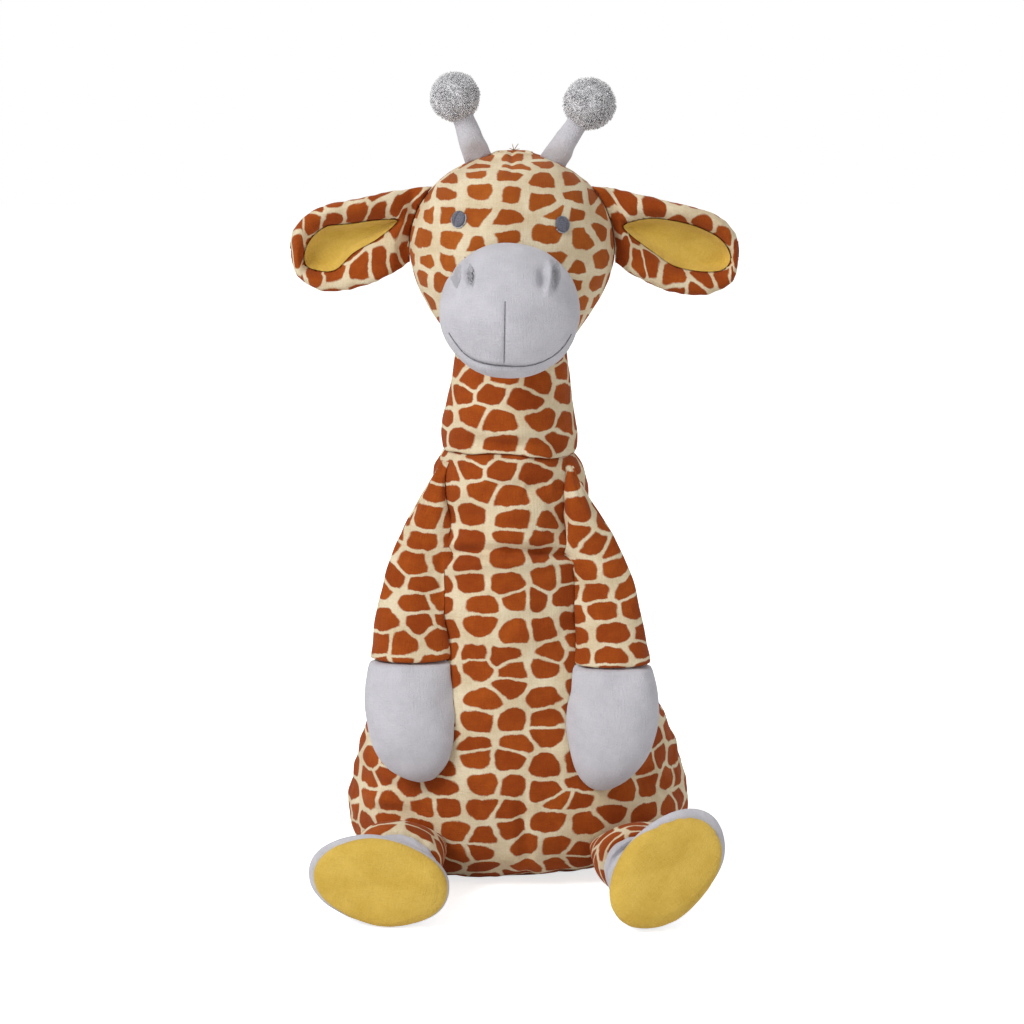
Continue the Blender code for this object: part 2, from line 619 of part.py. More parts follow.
def build_horn(side):
    """A horn that is flat at its seam, with a pompom on its tip."""
    word = SIDE_NAMES[side]
    lean = HORN_LEAN[side]
    along = Vector((side * math.sin(lean), 0, math.cos(lean)))
    root = horn_root(side)
    rings = []
    for length_share, width_share, thick_share in HORN_SHARES:
        through = HORN_ROOT_HALF_THICK + (HORN_TIP_RADIUS - HORN_ROOT_HALF_THICK) * thick_share
        middle = root + along * HORN_LENGTH[side] * length_share
        rings.append(Ring(middle, HORN_ROOT_HALF_WIDTH * width_share, through))
    cage = loft(word + "_horn_cage", rings, HORN_SIDES, Y_AXIS)
    horn = soft(word + "_horn", cage, PLAIN_LEVELS, finish=GREY)
    combine(horn, HEAD_GROWN)
    relieve(horn, HEAD_CAGE, root, X_AXIS, (HORN_BEND_LIMIT, -HORN_BEND_LIMIT))
    bm = bmesh.new()
    bmesh.ops.create_icosphere(bm, subdivisions=3, radius=POMPOM_RADIUS[side] + GAP)
    middle = root + along * (HORN_LENGTH[side] + POMPOM_RADIUS[side] - POMPOM_SEAT)
    combine(horn, solid_mesh(word + "_pompom_clearance", bm, Matrix.Translation(middle), True))
    bm = bmesh.new()
    bmesh.ops.create_icosphere(bm, subdivisions=3, radius=POMPOM_RADIUS[side])
    pompom = solid_mesh(word + "_pompom", bm, Matrix.Translation(middle), False, GREY)
    pompom.data.shade_smooth()
    return [horn, pompom]


# Arms
def arm_ring(side, row):
    """One ring of an arm, lying on the body's front."""
    down_share, spread_share, width_share, thick_share = row
    z = SHOULDER_HEIGHT - ARM_LENGTH * down_share
    x = side * ARM_SPREAD * spread_share
    through = ARM_HALF_THICK * thick_share
    y = body_front(x, z) - through * ARM_PRESS_SHARE
    return Ring(Vector((x, y, z)), ARM_HALF_WIDTH * width_share, through)


def build_arm(side):
    """An arm and its paw: one form, parted at the paw's seam and cut by the body it lies on."""
    word = SIDE_NAMES[side]
    cage = loft(word + "_arm_cage", [arm_ring(side, row) for row in ARM_SHARES[side]], LIMB_SIDES, Y_AXIS)
    seam = SHOULDER_HEIGHT - ARM_LENGTH * PAW_SEAM_SHARE[side]
    reach = Vector((ARM_SPREAD + BODY_HALF_WIDTH, ARM_HALF_THICK + BODY_HALF_DEPTH, ARM_LENGTH))
    reach *= 1 + OVERRUN_SHARE
    pieces = []
    for name, finish, low, high in (("arm", PRINT, seam - reach.z, seam + GAP / 2),
                                    ("paw", GREY, seam - GAP / 2, seam + reach.z)):
        piece = soft(word + "_" + name, cage, PLAIN_LEVELS, finish=finish)
        block = cutter_box(f"{word}_{name}_seam", (-reach.x, -reach.y, low), (reach.x, reach.y, high))
        combine(piece, BODY_GROWN)
        combine(piece, block)
        pieces.append(piece)
    return pieces


# Legs
def hip_point(side):
    """The middle of a leg's seam on the body."""
    x = side * HIP_SPREAD[side]
    return Vector((x, body_front(x, HIP_HEIGHT), HIP_HEIGHT))


def sole_centre(side):
    """The middle of a sole's face."""
    return Vector((side * SOLE_SPREAD[side], hip_point(side).y - LEG_REACH - FOOT_LENGTH, SOLE_HEIGHT[side]))


def build_leg(side):
    """A leg that is flat at the hip's seam, its foot and the sole's pad."""
    word = SIDE_NAMES[side]
    hip, sole = hip_point(side), sole_centre(side)
    ankle = Vector((hip.x + (sole.x - hip.x) * ANKLE_SHARE, hip.y - LEG_REACH, LEG_HALF_HEIGHT))
    leg_rings = []
    for length_share, width_share, height_share in LEG_SHARES:
        half_height = LEG_ROOT_HALF_HEIGHT + (LEG_HALF_HEIGHT - LEG_ROOT_HALF_HEIGHT) * height_share
        leg_rings.append(Ring(hip.lerp(ankle, length_share), LEG_HALF_WIDTH * width_share, half_height))
    foot_rings = []
    for length_share, width_share, height_share in FOOT_SHARES:
        foot_rings.append(Ring(ankle.lerp(sole, length_share), FOOT_HALF_LENGTH * width_share,
                               FOOT_HALF_HEIGHT * height_share, 0.0, SOLE_TURN[side]))
    rings = leg_rings + foot_rings
    cage = loft(word + "_leg_cage", rings, LIMB_SIDES, Z_AXIS)
    seam_y = ankle.y
    reach = BODY_HALF_WIDTH * 2
    pieces = []
    # The seam plane parts the leg, behind it, from the foot, in front of it
    for name, finish, low, high in (("leg", PRINT, seam_y - reach, seam_y + GAP / 2),
                                    ("foot", GREY, seam_y - GAP / 2, seam_y + reach)):
        piece = soft(word + "_" + name, cage, PLAIN_LEVELS, finish=finish)
        combine(piece, cutter_box(f"{word}_{name}_seam", (-reach, low, -reach), (reach, high, reach)))
        combine(piece, FLOOR)
        combine(piece, BODY_GROWN)
        pieces.append(piece)
    relieve(pieces[0], BODY_CAGE, hip, -X_AXIS, (LEG_RAISE_LIMIT, -LEG_DROP_LIMIT))
    place = Matrix.Translation((sole.x, sole.y + FOOT_LENGTH * SOLE_SEAT_SHARE, sole.z))
    place = place @ Matrix.Rotation(-SOLE_TURN[side], 4, "Y") @ Matrix.Rotation(math.pi / 2, 4, "X")
    pad = soft(word + "_sole", cage, PLAIN_LEVELS, GAP + SOLE_THICK, finish=YELLOW)
    outline = cutter_disc(word + "_sole_outline", place, FOOT_HALF_LENGTH - SOLE_EDGE,
                          FOOT_HALF_HEIGHT - SOLE_EDGE, OVERRUN * 2)
    combine(pad, outline, "INTERSECT")
    combine(pad, soft(word + "_sole_seat", cage, PLAIN_LEVELS, GAP, cutter=True))
    combine(pad, FLOOR)
    pieces.append(pad)
    return pieces


# Tail
def tail_point(down):
    """A point down the tail, which lies on the body's back."""
    z = TAIL_ROOT_HEIGHT - down
    return Vector((body_shift(z), -body_front(body_shift(z), z), z))


def build_tail():
    """A thin tail that is flat at its seam, with a tuft at the end."""
    rings = []
    for length_share, width_share, thick_share in TAIL_SHARES:
        through = TAIL_ROOT_HALF_THICK + (TAIL_RADIUS - TAIL_ROOT_HALF_THICK) * thick_share
        middle = tail_point(TAIL_LENGTH * length_share) + Y_AXIS * (through * thick_share + GAP)
        rings.append(Ring(middle, TAIL_RADIUS * width_share, through))
    tail = soft("tail", loft("tail_cage", rings, HORN_SIDES, Y_AXIS), PLAIN_LEVELS, finish=PRINT)
    tuft_rings = []
    tuft_start = TAIL_LENGTH * TUFT_START_SHARE
    for length_share, radius_share in TUFT_SHARES:
        middle = tail_point(tuft_start + TUFT_LENGTH * length_share)
        middle += Y_AXIS * (TUFT_RADIUS * TUFT_LIFT_SHARE)
        tuft_rings.append(Ring(middle, TUFT_RADIUS * radius_share, TUFT_RADIUS * radius_share))
    tuft_cage = loft("tail_tuft_cage", tuft_rings, LIMB_SIDES, Y_AXIS)
    tuft = soft("tail_tuft", tuft_cage, PLAIN_LEVELS, finish=GREY)
    combine(tail, soft("tail_tuft_clearance", tuft_cage, PLAIN_LEVELS, GAP, cutter=True))
    for piece in (tail, tuft):
        combine(piece, BODY_GROWN)
        combine(piece, FLOOR)
    relieve(tail, BODY_CAGE, tail_point(0), X_AXIS, (TAIL_LIFT_LIMIT, TAIL_LIFT_LIMIT / 2))
    return [tail, tuft]


# Assembly: each moving body hangs on an empty that sits on its joint's axis
build_body()
NECK_PIVOT = Vector((0, NECK_HALF_DEPTH + NECK_FOLD_SETBACK, CREASE_HEIGHT))
NAPE_HEIGHT = HEAD_BOTTOM + HEAD_HEIGHT * HEAD_SHARES[1][0]
HEAD_PIVOT = Vector((0, NECK_HALF_DEPTH * NECK_SHARES[3][2] + NAPE_SETBACK, NAPE_HEIGHT))
neck_frame = joint_frame("neck_bend_axis", NECK_PIVOT, [build_neck()])
head_frame = joint_frame("head_nod_axis", HEAD_PIVOT, build_head())
for one_side, side_word in SIDE_NAMES.items():
    joint_frame(side_word + "_ear_fold_axis", ear_root(one_side), build_ear(one_side))
    joint_frame(side_word + "_horn_bend_axis", horn_root(one_side), build_horn(one_side))
    shoulder = arm_ring(one_side, ARM_SHARES[one_side][0]).centre
    shoulder_setback = ARM_HALF_THICK * ARM_SHARES[one_side][1][3]
    shoulder_pivot = shoulder + Vector((0, shoulder_setback, SHOULDER_ABOVE))
    joint_frame(side_word + "_arm_swing_axis", shoulder_pivot, build_arm(one_side))
    joint_frame(side_word + "_leg_swing_axis", hip_point(one_side), build_leg(one_side))
joint_frame("tail_swing_axis", tail_point(0), build_tail())
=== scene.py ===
"""Looks of the seated plush giraffe: printed plush, grey and yellow plush, stitching, pompoms and soft light.

Every form is a grid of rows and columns in metres, on the same rings as its CAD solid. The toy faces -Y.
"""
import math
import random

import bmesh
import bpy
import numpy as np
from mathutils import Matrix, Vector, noise
from mathutils.bvhtree import BVHTree


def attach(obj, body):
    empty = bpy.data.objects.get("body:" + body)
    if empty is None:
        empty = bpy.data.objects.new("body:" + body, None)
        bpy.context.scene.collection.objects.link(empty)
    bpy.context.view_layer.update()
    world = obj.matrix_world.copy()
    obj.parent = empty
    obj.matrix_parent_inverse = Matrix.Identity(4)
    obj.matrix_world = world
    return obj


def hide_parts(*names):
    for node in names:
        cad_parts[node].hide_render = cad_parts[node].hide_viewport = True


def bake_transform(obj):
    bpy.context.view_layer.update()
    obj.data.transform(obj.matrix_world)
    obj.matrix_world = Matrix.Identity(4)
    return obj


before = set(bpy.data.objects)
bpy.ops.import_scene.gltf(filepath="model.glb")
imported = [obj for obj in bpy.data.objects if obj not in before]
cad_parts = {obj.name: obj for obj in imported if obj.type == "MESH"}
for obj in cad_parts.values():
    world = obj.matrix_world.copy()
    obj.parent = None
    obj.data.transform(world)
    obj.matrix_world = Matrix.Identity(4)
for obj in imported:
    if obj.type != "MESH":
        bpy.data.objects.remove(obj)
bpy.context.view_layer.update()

# General sizes
SKIN_GAP = 0.0004  # between a form and the neighbour that it lies on
GRID_STEP = 0.0050
FLOOR_LIFT = 0.0003
LINING_DEPTH = 0.0026
FILLING_DEPTH = 0.0066

# Body
BODY_HEIGHT = 0.222
BODY_HALF_WIDTH = 0.0865
BODY_HALF_DEPTH = 0.065
BODY_BASE_SHIFT = 0.0048
BODY_TOP_SHIFT = -0.0015
BODY_SHARES = (  # height, half width, half depth
    (0.000, 0.500, 0.500), (0.030, 0.830, 0.820), (0.105, 0.985, 0.985), (0.230, 0.965, 0.990),
    (0.395, 0.815, 0.890), (0.580, 0.625, 0.735), (0.780, 0.495, 0.610), (0.930, 0.415, 0.525),
    (0.998, 0.240, 0.300),
)
PELLET_BAG_HEIGHT = 0.035
PELLET_BAG_HALF_WIDTH = 0.064
PELLET_BAG_HALF_DEPTH = 0.045
PELLET_BAG_SHARES = ((0.0, 0.55), (0.25, 0.95), (0.70, 0.95), (1.0, 0.45))

# Neck
NECK_HALF_WIDTH = 0.034
NECK_HALF_DEPTH = 0.0315
NECK_HEIGHT = 0.0805
NECK_BOTTOM = BODY_HEIGHT - 0.020
NECK_SHARES = ((0.0, 0.93, 0.95), (0.24, 1.0, 1.0), (0.47, 0.92, 0.92), (0.74, 0.83, 0.83), (1.0, 0.80, 0.78))

# Head and muzzle
HEAD_HALF_WIDTH = 0.0504
HEAD_HALF_DEPTH = 0.048
HEAD_HEIGHT = 0.103
HEAD_FORWARD = 0.008
HEAD_BOTTOM = NECK_BOTTOM + NECK_HEIGHT - 0.024
HEAD_MIDDLE = HEAD_BOTTOM + HEAD_HEIGHT / 2
HEAD_SHARES = (  # height, half width, half depth, forward
    (0.000, 0.300, 0.360, 1.2), (0.110, 0.580, 0.700, 1.2), (0.290, 0.840, 0.910, 1.0), (0.510, 1.000, 1.000, 0.9),
    (0.750, 0.900, 0.900, 0.8), (0.915, 0.580, 0.610, 0.7), (0.988, 0.220, 0.250, 0.7),
)
MUZZLE_HALF_WIDTH = 0.0335
MUZZLE_HALF_HEIGHT = 0.0322
MUZZLE_LENGTH = 0.062
MUZZLE_CENTRE_BELOW_HEAD_MIDDLE = 0.0165
MUZZLE_DROP = 0.004
MUZZLE_SHIFT = -0.0010
MUZZLE_SHARES = (  # length, half width, half height
    (-0.26, 0.74, 0.74), (0.00, 0.84, 0.84), (0.28, 0.93, 0.94), (0.52, 1.00, 1.00), (0.74, 0.95, 0.93),
    (0.91, 0.72, 0.70), (1.00, 0.34, 0.32),
)

# Ears
EAR_REACH = {1: 0.0665, -1: 0.0635}
EAR_HALF_HEIGHT = 0.0222
EAR_HALF_THICK = 0.0045
EAR_CUP = 0.0085
EAR_ROOT_HALF_THICK = 0.0020
EAR_ROOT_ABOVE_HEAD_MIDDLE = 0.0175
EAR_DROOP = {1: 0.0178, -1: 0.0153}
EAR_SWEEP_BACK = 0.004
EAR_SHARES = (  # reach, half height, drop, thickness and cup
    (-0.24, 0.70, -0.14, 0.20), (0.03, 0.78, 0.03, 0.50), (0.32, 0.93, 0.46, 1.00), (0.60, 0.98, 0.80, 1.00),
    (0.80, 0.83, 0.95, 0.90), (0.91, 0.55, 1.00, 0.70),
)
LININGS = {  # each lining's outline, x and z
    -1: ((-0.0560, 0.3285), (-0.0680, 0.3290), (-0.0806, 0.3272), (-0.0925, 0.3256), (-0.1010, 0.3180),
         (-0.1036, 0.3086), (-0.0992, 0.3036), (-0.0878, 0.3031), (-0.0778, 0.3121), (-0.0653, 0.3195)),
    1: ((0.0545, 0.3262), (0.0630, 0.3292), (0.0732, 0.3299), (0.0905, 0.3262), (0.1040, 0.3190),
        (0.1090, 0.3090), (0.1022, 0.3026), (0.0823, 0.3046), (0.0679, 0.3136), (0.0574, 0.3215)),
}
LINING_THICK = 0.0009
RIM_HEIGHT = 0.0070
RIM_SINK = 0.0036
RIM_START = 0.009  # the rim rises over this distance from the ear's root
RIM_EDGE = 0.003
EAR_STEP = 0.0045

# Horns and pompoms
HORN_ROOT_HALF_WIDTH = 0.0073
HORN_ROOT_HALF_THICK = 0.0008
HORN_TIP_RADIUS = 0.0052
HORN_LENGTH = {1: 0.0250, -1: 0.0248}
HORN_SPREAD = {1: 0.0205, -1: 0.0165}
HORN_LEAN = {1: math.radians(32), -1: math.radians(21)}
HORN_SHARES = ((-0.10, 1.0, 0.0), (0.12, 0.97, 0.35), (0.40, 0.86, 1.0), (0.75, 0.76, 1.0), (1.12, 0.72, 1.0))
HORN_STEP = 0.0030
POMPOM_RADIUS = {1: 0.0123, -1: 0.0116}
POMPOM_SEAT = 0.0040
POMPOM_CURLS = 5200
POMPOM_CORE_SHARE = 0.93
CURL_START = 0.84  # as shares of the ball's radius, like the next five
CURL_LENGTH = 0.15
CURL_CLUMP = 0.10
CURL_UNEVEN = 0.05
CURL_WIDTH = (0.04, 0.12)
CURL_THICKNESS = (0.014, 0.021)
CURL_TURNS = (0.4, 1.1)
CURL_LEAN = 0.15
BALL_LUMP = 0.07

# Arms and paws
SHOULDER_HEIGHT = 0.2030
ARM_LENGTH = 0.1455
ARM_HALF_WIDTH = 0.0222
ARM_HALF_THICK = 0.0140
ARM_SPREAD = 0.0500
ARM_PRESS_SHARE = 0.75
ARM_SHARES = {  # down the arm, distance from the middle, half width, half thickness
    1: ((-0.03, 0.55, 0.13, 0.05), (0.10, 0.64, 0.31, 0.42), (0.26, 0.775, 0.63, 0.72), (0.42, 0.885, 0.79, 0.85),
        (0.58, 0.96, 0.89, 0.95), (0.76, 0.995, 1.05, 1.00), (0.89, 0.945, 0.95, 0.90), (0.98, 0.885, 0.67, 0.64),
        (1.025, 0.860, 0.34, 0.33)),
    -1: ((-0.03, 0.66, 0.13, 0.05), (0.10, 0.76, 0.38, 0.42), (0.26, 0.855, 0.68, 0.72), (0.42, 0.95, 0.82, 0.85),
         (0.58, 0.99, 0.94, 0.95), (0.76, 1.00, 1.05, 1.00), (0.88, 0.955, 0.92, 0.88), (0.962, 0.885, 0.64, 0.62),
         (1.002, 0.860, 0.32, 0.30)),
}
PAW_SEAM_SHARE = {1: 0.637, -1: 0.619}

# Legs, feet and soles
HIP_HEIGHT = 0.0250
LEG_REACH = 0.0360
LEG_HALF_WIDTH = 0.0230
LEG_HALF_HEIGHT = 0.0180
LEG_ROOT_HALF_HEIGHT = 0.0012
HIP_SPREAD = {1: 0.0560, -1: 0.0520}
SOLE_SPREAD = {1: 0.0747, -1: 0.0638}
SOLE_HEIGHT = {1: 0.0285, -1: 0.0212}
SOLE_TURN = {1: math.radians(42), -1: math.radians(-9)}
FOOT_LENGTH = 0.0330
FOOT_HALF_LENGTH = {1: 0.0337, -1: 0.0348}
FOOT_HALF_HEIGHT = 0.0218
ANKLE_SHARE = 0.6
LEG_SHARES = ((-0.08, 0.90, 0.0), (0.20, 0.93, 0.42), (0.55, 1.0, 1.0), (1.00, 1.0, 1.0))
FOOT_SHARES = ((0.24, 0.76, 0.74), (0.62, 0.91, 0.87), (1.00, 1.00, 1.00), (1.12, 0.84, 0.82))
SOLE_THICK = 0.0020
SOLE_REACH = 0.965
SOLE_EDGE = 0.0035

# Tail
TAIL_ROOT_HEIGHT = 0.0600
TAIL_LENGTH = 0.0440
TAIL_RADIUS = 0.0048
TAIL_ROOT_HALF_THICK = 0.0010
TUFT_LENGTH = 0.0210
TUFT_RADIUS = 0.0082
TUFT_START_SHARE = 0.72
TUFT_CURLS = 2200
TUFT_CORE_SHARE = 0.86
TUFT_NARROW = 0.85
TAIL_STEP = 0.0025
TAIL_SHARES = ((-0.06, 1.2, 0.0), (0.15, 1.05, 0.5), (0.45, 1.0, 1.0), (1.02, 0.95, 1.0))

# How the filling and the seams shape the cloth
LUMPS = {  # how far the filling presses, over what size, and the seed of its pattern
    "body": ((0.0016, 0.035, 3.1), (0.0009, 0.014, 8.4)),
    "neck": ((0.0012, 0.022, 6.2),),
    "head": ((0.0008, 0.022, 1.7),),
    "muzzle": ((0.0007, 0.018, 4.2),),
    "ear": ((0.0008, 0.014, 2.2),),
    "horn": ((0.0006, 0.007, 1.0),),
    "arm": ((0.0010, 0.018, 7.0), (0.0005, 0.008, 3.0)),
    "leg": ((0.0010, 0.018, 4.0),),
    "tail": ((0.0005, 0.006, 2.0),),
    "body filling": ((0.0008, 0.012, 5.0),),
    "head filling": ((0.0006, 0.012, 5.0),),
    "pellet bag": ((0.0008, 0.008, 2.0),),
}
SIDE_SEAMS = {  # the seams down both sides: depth, width, pucker, the puckers' pitch and seed
    "body": (0.0014, 0.0022, 0.0011, 0.007, 1),
    "neck": (0.0008, 0.0018, 0.0006, 0.006, 5),
    "head": (0.0010, 0.0018, 0.0007, 0.006, 9),
    "ear": (0.0004, 0.0012, 0.0006, 0.005, 3),
    "arm": (0.0007, 0.0014, 0.0006, 0.005, 2),
}
HORN_SEAM = (0.0006, 0.0010, 0.0003, 0.004, 2)
CROSS_SEAMS = {  # the seams round a form, with the same values
    "muzzle": (0.0012, 0.0020, 0.0008, 0.005, 3),
    "paw": (0.0006, 0.0014, 0.0006, 0.005, 6),
    "ankle": (0.0012, 0.0018, 0.0010, 0.005, 2),
    "hip": (0.0008, 0.0020, 0.0012, 0.005, 5),
    "sole": (0.0008, 0.0014, 0.0004, 0.004, 8),
}
CLOTH_SETTINGS = {
    "quality": 6, "mass": 0.25, "tension_stiffness": 12, "compression_stiffness": 12, "bending_stiffness": 0.4,
    "use_pressure": True, "uniform_pressure_force": 4.0,
}
CLOTH_FRAMES = 20
CLOTH_CAP = {"body": 0.003, "head": 0.002, "arm": 0.0015}
CLOTH_SLACK = {"body": 0.012, "head": 0.01, "arm": 0.015}

SIDES = {1: "left", -1: "right"}
X_AXIS, Y_AXIS, Z_AXIS = Vector((1, 0, 0)), Vector((0, 1, 0)), Vector((0, 0, 1))


# Curves and grids
def curve_through(values, at):
    """Natural cubic curves through evenly numbered rows of values, read at fractional row numbers."""
    y = np.array(values, float)
    count = len(y)
    left, right = np.eye(count), np.zeros_like(y)
    for i in range(1, count - 1):
        left[i, i - 1:i + 2] = 1, 4, 1
        right[i] = 6 * (y[i + 1] - 2 * y[i] + y[i - 1])
    bending = np.linalg.solve(left, right)
    at = np.atleast_1d(np.asarray(at, float))
    k = np.clip(np.floor(at).astype(int), 0, count - 2)
    before, after = (k + 1 - at)[:, None], (at - k)[:, None]
    return ((bending[k] * before ** 3 + bending[k + 1] * after ** 3) / 6
            + (y[k] - bending[k] / 6) * before + (y[k + 1] - bending[k + 1] / 6) * after)


def run_along(grid):
    """How far along each column its points lie."""
    steps = np.linalg.norm(np.diff(grid, axis=0), axis=2)
    return np.concatenate([np.zeros((1, grid.shape[1])), np.cumsum(steps, axis=0)])


def steps_round(grid):
    """How far each point lies from the next one in its row."""
    return np.linalg.norm(np.roll(grid, -1, axis=1) - grid, axis=2)


def between(shares, at, column):
    """A table's value between its rows."""
    return float(np.interp(at, [row[0] for row in shares], [row[column] for row in shares]))


def ring_grid(rings, reference, columns):
    """Oval rings as a grid. A ring is x, y, z, half width, half depth, bend and turn."""
    centres = rings[:, :3]
    angles = np.arange(columns) * math.tau / columns
    grid = np.zeros((len(rings), columns, 3))
    for i, (across, through, bend, turn) in enumerate(rings[:, 3:]):
        along = Vector(centres[min(i + 1, len(rings) - 1)] - centres[max(i - 1, 0)]).normalized()
        u = Vector(reference).cross(along).normalized()
        v = along.cross(u)
        twist = Matrix.Rotation(turn, 3, along)
        u, v = twist @ u, twist @ v
        grid[i] = (centres[i] + np.outer(across * np.cos(angles), u)
                   + np.outer(through * np.sin(angles) + bend * np.cos(angles) ** 2, v))
    return grid


def form(rings, reference, step=GRID_STEP):
    """A grid with even steps through a table of rings."""
    rings = np.array([tuple(ring) + (0.0,) * (7 - len(ring)) for ring in rings])
    fine_at = np.linspace(0, len(rings) - 1, (len(rings) - 1) * 16 + 1)
    coarse = ring_grid(curve_through(rings, fine_at), reference, 16)
    run = np.concatenate([[0], np.cumsum(np.linalg.norm(np.diff(coarse, axis=0), axis=2).mean(axis=1))])
    girth = steps_round(coarse).sum(axis=1).max()
    at = np.interp(np.linspace(0, run[-1], max(6, round(run[-1] / step)) + 1), run, fine_at)
    columns = max(8, 4 * round(girth / step / 4))
    return ring_grid(curve_through(rings, at), reference, columns)


def round_ends(grid, start=None, end=None, rows=4, lean=0.0):
    """Closes the ends of a grid with domes of the given heights; the last one may start at a lean."""
    blocks = [grid]
    for height, edge, inner, first in ((start, grid[0], grid[1], True), (end, grid[-1], grid[-2], False)):
        if height is None:
            continue
        middle = edge.mean(axis=0)
        outward = middle - inner.mean(axis=0)
        outward = outward / max(np.linalg.norm(outward), 1e-9)
        low = 0.0 if first else lean
        angles = [low + (math.pi / 2 - low) * k / rows for k in range(1, rows + 1)]
        block = np.array([
            middle + (edge - middle) * max(math.cos(a) / math.cos(low), 0.04)
            + outward * height * (math.sin(a) - math.sin(low)) / (1 - math.sin(low)) for a in angles])
        blocks = [block[::-1]] + blocks if first else blocks + [block]
    return np.concatenate(blocks)


def finer(grid):
    """A grid with twice the rows and columns, on smooth curves through the old ones."""
    after, before, beyond = np.roll(grid, -1, axis=1), np.roll(grid, 1, axis=1), np.roll(grid, -2, axis=1)
    wide = np.empty((grid.shape[0], grid.shape[1] * 2, 3))
    wide[:, 0::2], wide[:, 1::2] = grid, (9 * (grid + after) - before - beyond) / 16
    longer = np.concatenate([2 * wide[:1] - wide[1:2], wide, 2 * wide[-1:] - wide[-2:-1]])
    tall = np.empty((grid.shape[0] * 2 - 1, wide.shape[1], 3))
    tall[0::2] = wide
    tall[1::2] = (9 * (longer[1:-2] + longer[2:-1]) - longer[:-3] - longer[3:]) / 16
    return tall


def normals(grid):
    """Outward unit normals of a grid."""
    round_step = np.roll(grid, -1, axis=1) - np.roll(grid, 1, axis=1)
    n = np.cross(round_step, np.gradient(grid, axis=0))
    n /= np.maximum(np.linalg.norm(n, axis=2, keepdims=True), 1e-12)
    outward = grid - grid.mean(axis=1, keepdims=True)
    return n if (n * outward).sum() > 0 else -n


def noise_at(points, size, seed):
    """Smooth noise at an array of points."""
    flat = points.reshape(-1, 3) / size + seed
    return np.array([noise.noise(Vector(p)) for p in flat]).reshape(points.shape[:-1])


def lumps(grid, name, side=0):
    """The filling's soft unevenness, along the normals."""
    for amount, size, seed in LUMPS[name]:
        grid = grid + normals(grid) * (noise_at(grid, size, seed + side) * amount)[..., None]
    return grid


def distance_to_path(points, path):
    """The distance of each point to a line of points, and how far along it the nearest place lies, from 0 to 1."""
    path = np.array(path, float)
    lengths = np.linalg.norm(np.diff(path, axis=0), axis=1)
    starts = np.concatenate([[0], np.cumsum(lengths)])
    best, along = np.full(len(points), np.inf), np.zeros(len(points))
    for a, b, length, start in zip(path, path[1:], lengths, starts):
        t = np.clip((points - a) @ (b - a) / max(length, 1e-9) ** 2, 0, 1)
        d = np.linalg.norm(points - a - t[:, None] * (b - a), axis=1)
        closer = d < best
        best[closer], along[closer] = d[closer], ((start + t * length) / max(starts[-1], 1e-9))[closer]
    return best, along


def fold(grid, path, depth, width, ridge=0.0, fade=0.5):
    """A groove along a path with ridges beside it; it fades towards its ends."""
    d, t = distance_to_path(grid.reshape(-1, 3), path)
    strength = np.sin(np.pi * np.clip(t, 0.02, 0.98)) ** fade
    shape = -depth * np.exp(-(d / width) ** 2) + ridge * np.exp(-((d - 2.2 * width) / (1.3 * width)) ** 2)
    return grid + normals(grid) * (shape * strength).reshape(grid.shape[:2])[..., None]


def seam_across(grid, row, name, side=0):
    """A sewn seam round a form at a row: a groove, with puckers on both sides."""
    *shape, seed = CROSS_SEAMS[name]
    run = run_along(grid)
    around = np.cumsum(steps_round(grid), axis=1)
    return grid + normals(grid) * groove(run - run[row], around, *shape, seed + side)[..., None]


def seam_along(grid, column, depth, width, pucker, pitch, seed):
    """A sewn seam along a form at a column: a groove, with puckers on both sides."""
    run = np.concatenate([np.zeros((len(grid), 1)), np.cumsum(steps_round(grid), axis=1)], axis=1)
    whole, run = run[:, -1:], run[:, :-1]
    d = (run - run[:, [column]] + whole / 2) % whole - whole / 2
    return grid + normals(grid) * groove(d, run_along(grid), depth, width, pucker, pitch, seed)[..., None]


def side_seams(grid, name, side=0):
    """The sewn seams down both sides of a form."""
    *shape, seed = SIDE_SEAMS[name]
    for column in (0, grid.shape[1] // 2):
        grid = seam_along(grid, column, *shape, column + side + seed)
    return grid


def groove(d, along, depth, width, pucker, pitch, seed):
    """How far a seam moves the cloth in, and its puckers out, at a distance from the seam."""
    places = np.stack([along / pitch, d / (pitch * 2.5), np.full_like(d, seed)], axis=-1)
    ripple = noise_at(places, 0.8, seed) * pucker * np.exp(-(np.abs(d) / (width * 4)) ** 1.5)
    return ripple - depth * np.exp(-(d / width) ** 2)


# Neighbouring forms
def tree_of(grid):
    """A search tree over a form, with the sign that turns its normals outwards."""
    rows, columns = grid.shape[:2]
    faces = [(r * columns + c, r * columns + (c + 1) % columns,
              (r + 1) * columns + (c + 1) % columns, (r + 1) * columns + c)
             for r in range(rows - 1) for c in range(columns)]
    for end in (0, rows - 1):
        faces.append(tuple(end * columns + c for c in (range(columns) if end else reversed(range(columns)))))
    n = np.cross(np.roll(grid, -1, axis=1) - grid, np.gradient(grid, axis=0))
    sign = 1 if (n * (grid - grid.mean(axis=(0, 1)))).sum() > 0 else -1
    return BVHTree.FromPolygons([tuple(p) for p in grid.reshape(-1, 3)], faces), sign


def outside(point, tree):
    """How far a point is outside a form, with the nearest place on it and its normal."""
    place, normal, _, _ = tree[0].find_nearest(Vector(point))
    normal = normal * tree[1]
    return (Vector(point) - place).dot(normal), place, normal


def on_front(tree, x, z, lift=0.0):
    """The place on a form's front at x and z."""
    place, _, _, _ = tree[0].ray_cast(Vector((x, -1, z)), Y_AXIS)
    if place is None:
        place = tree[0].find_nearest(Vector((x, 0, z)))[0]
    _, place, normal = outside(place, tree)
    return place + normal * lift


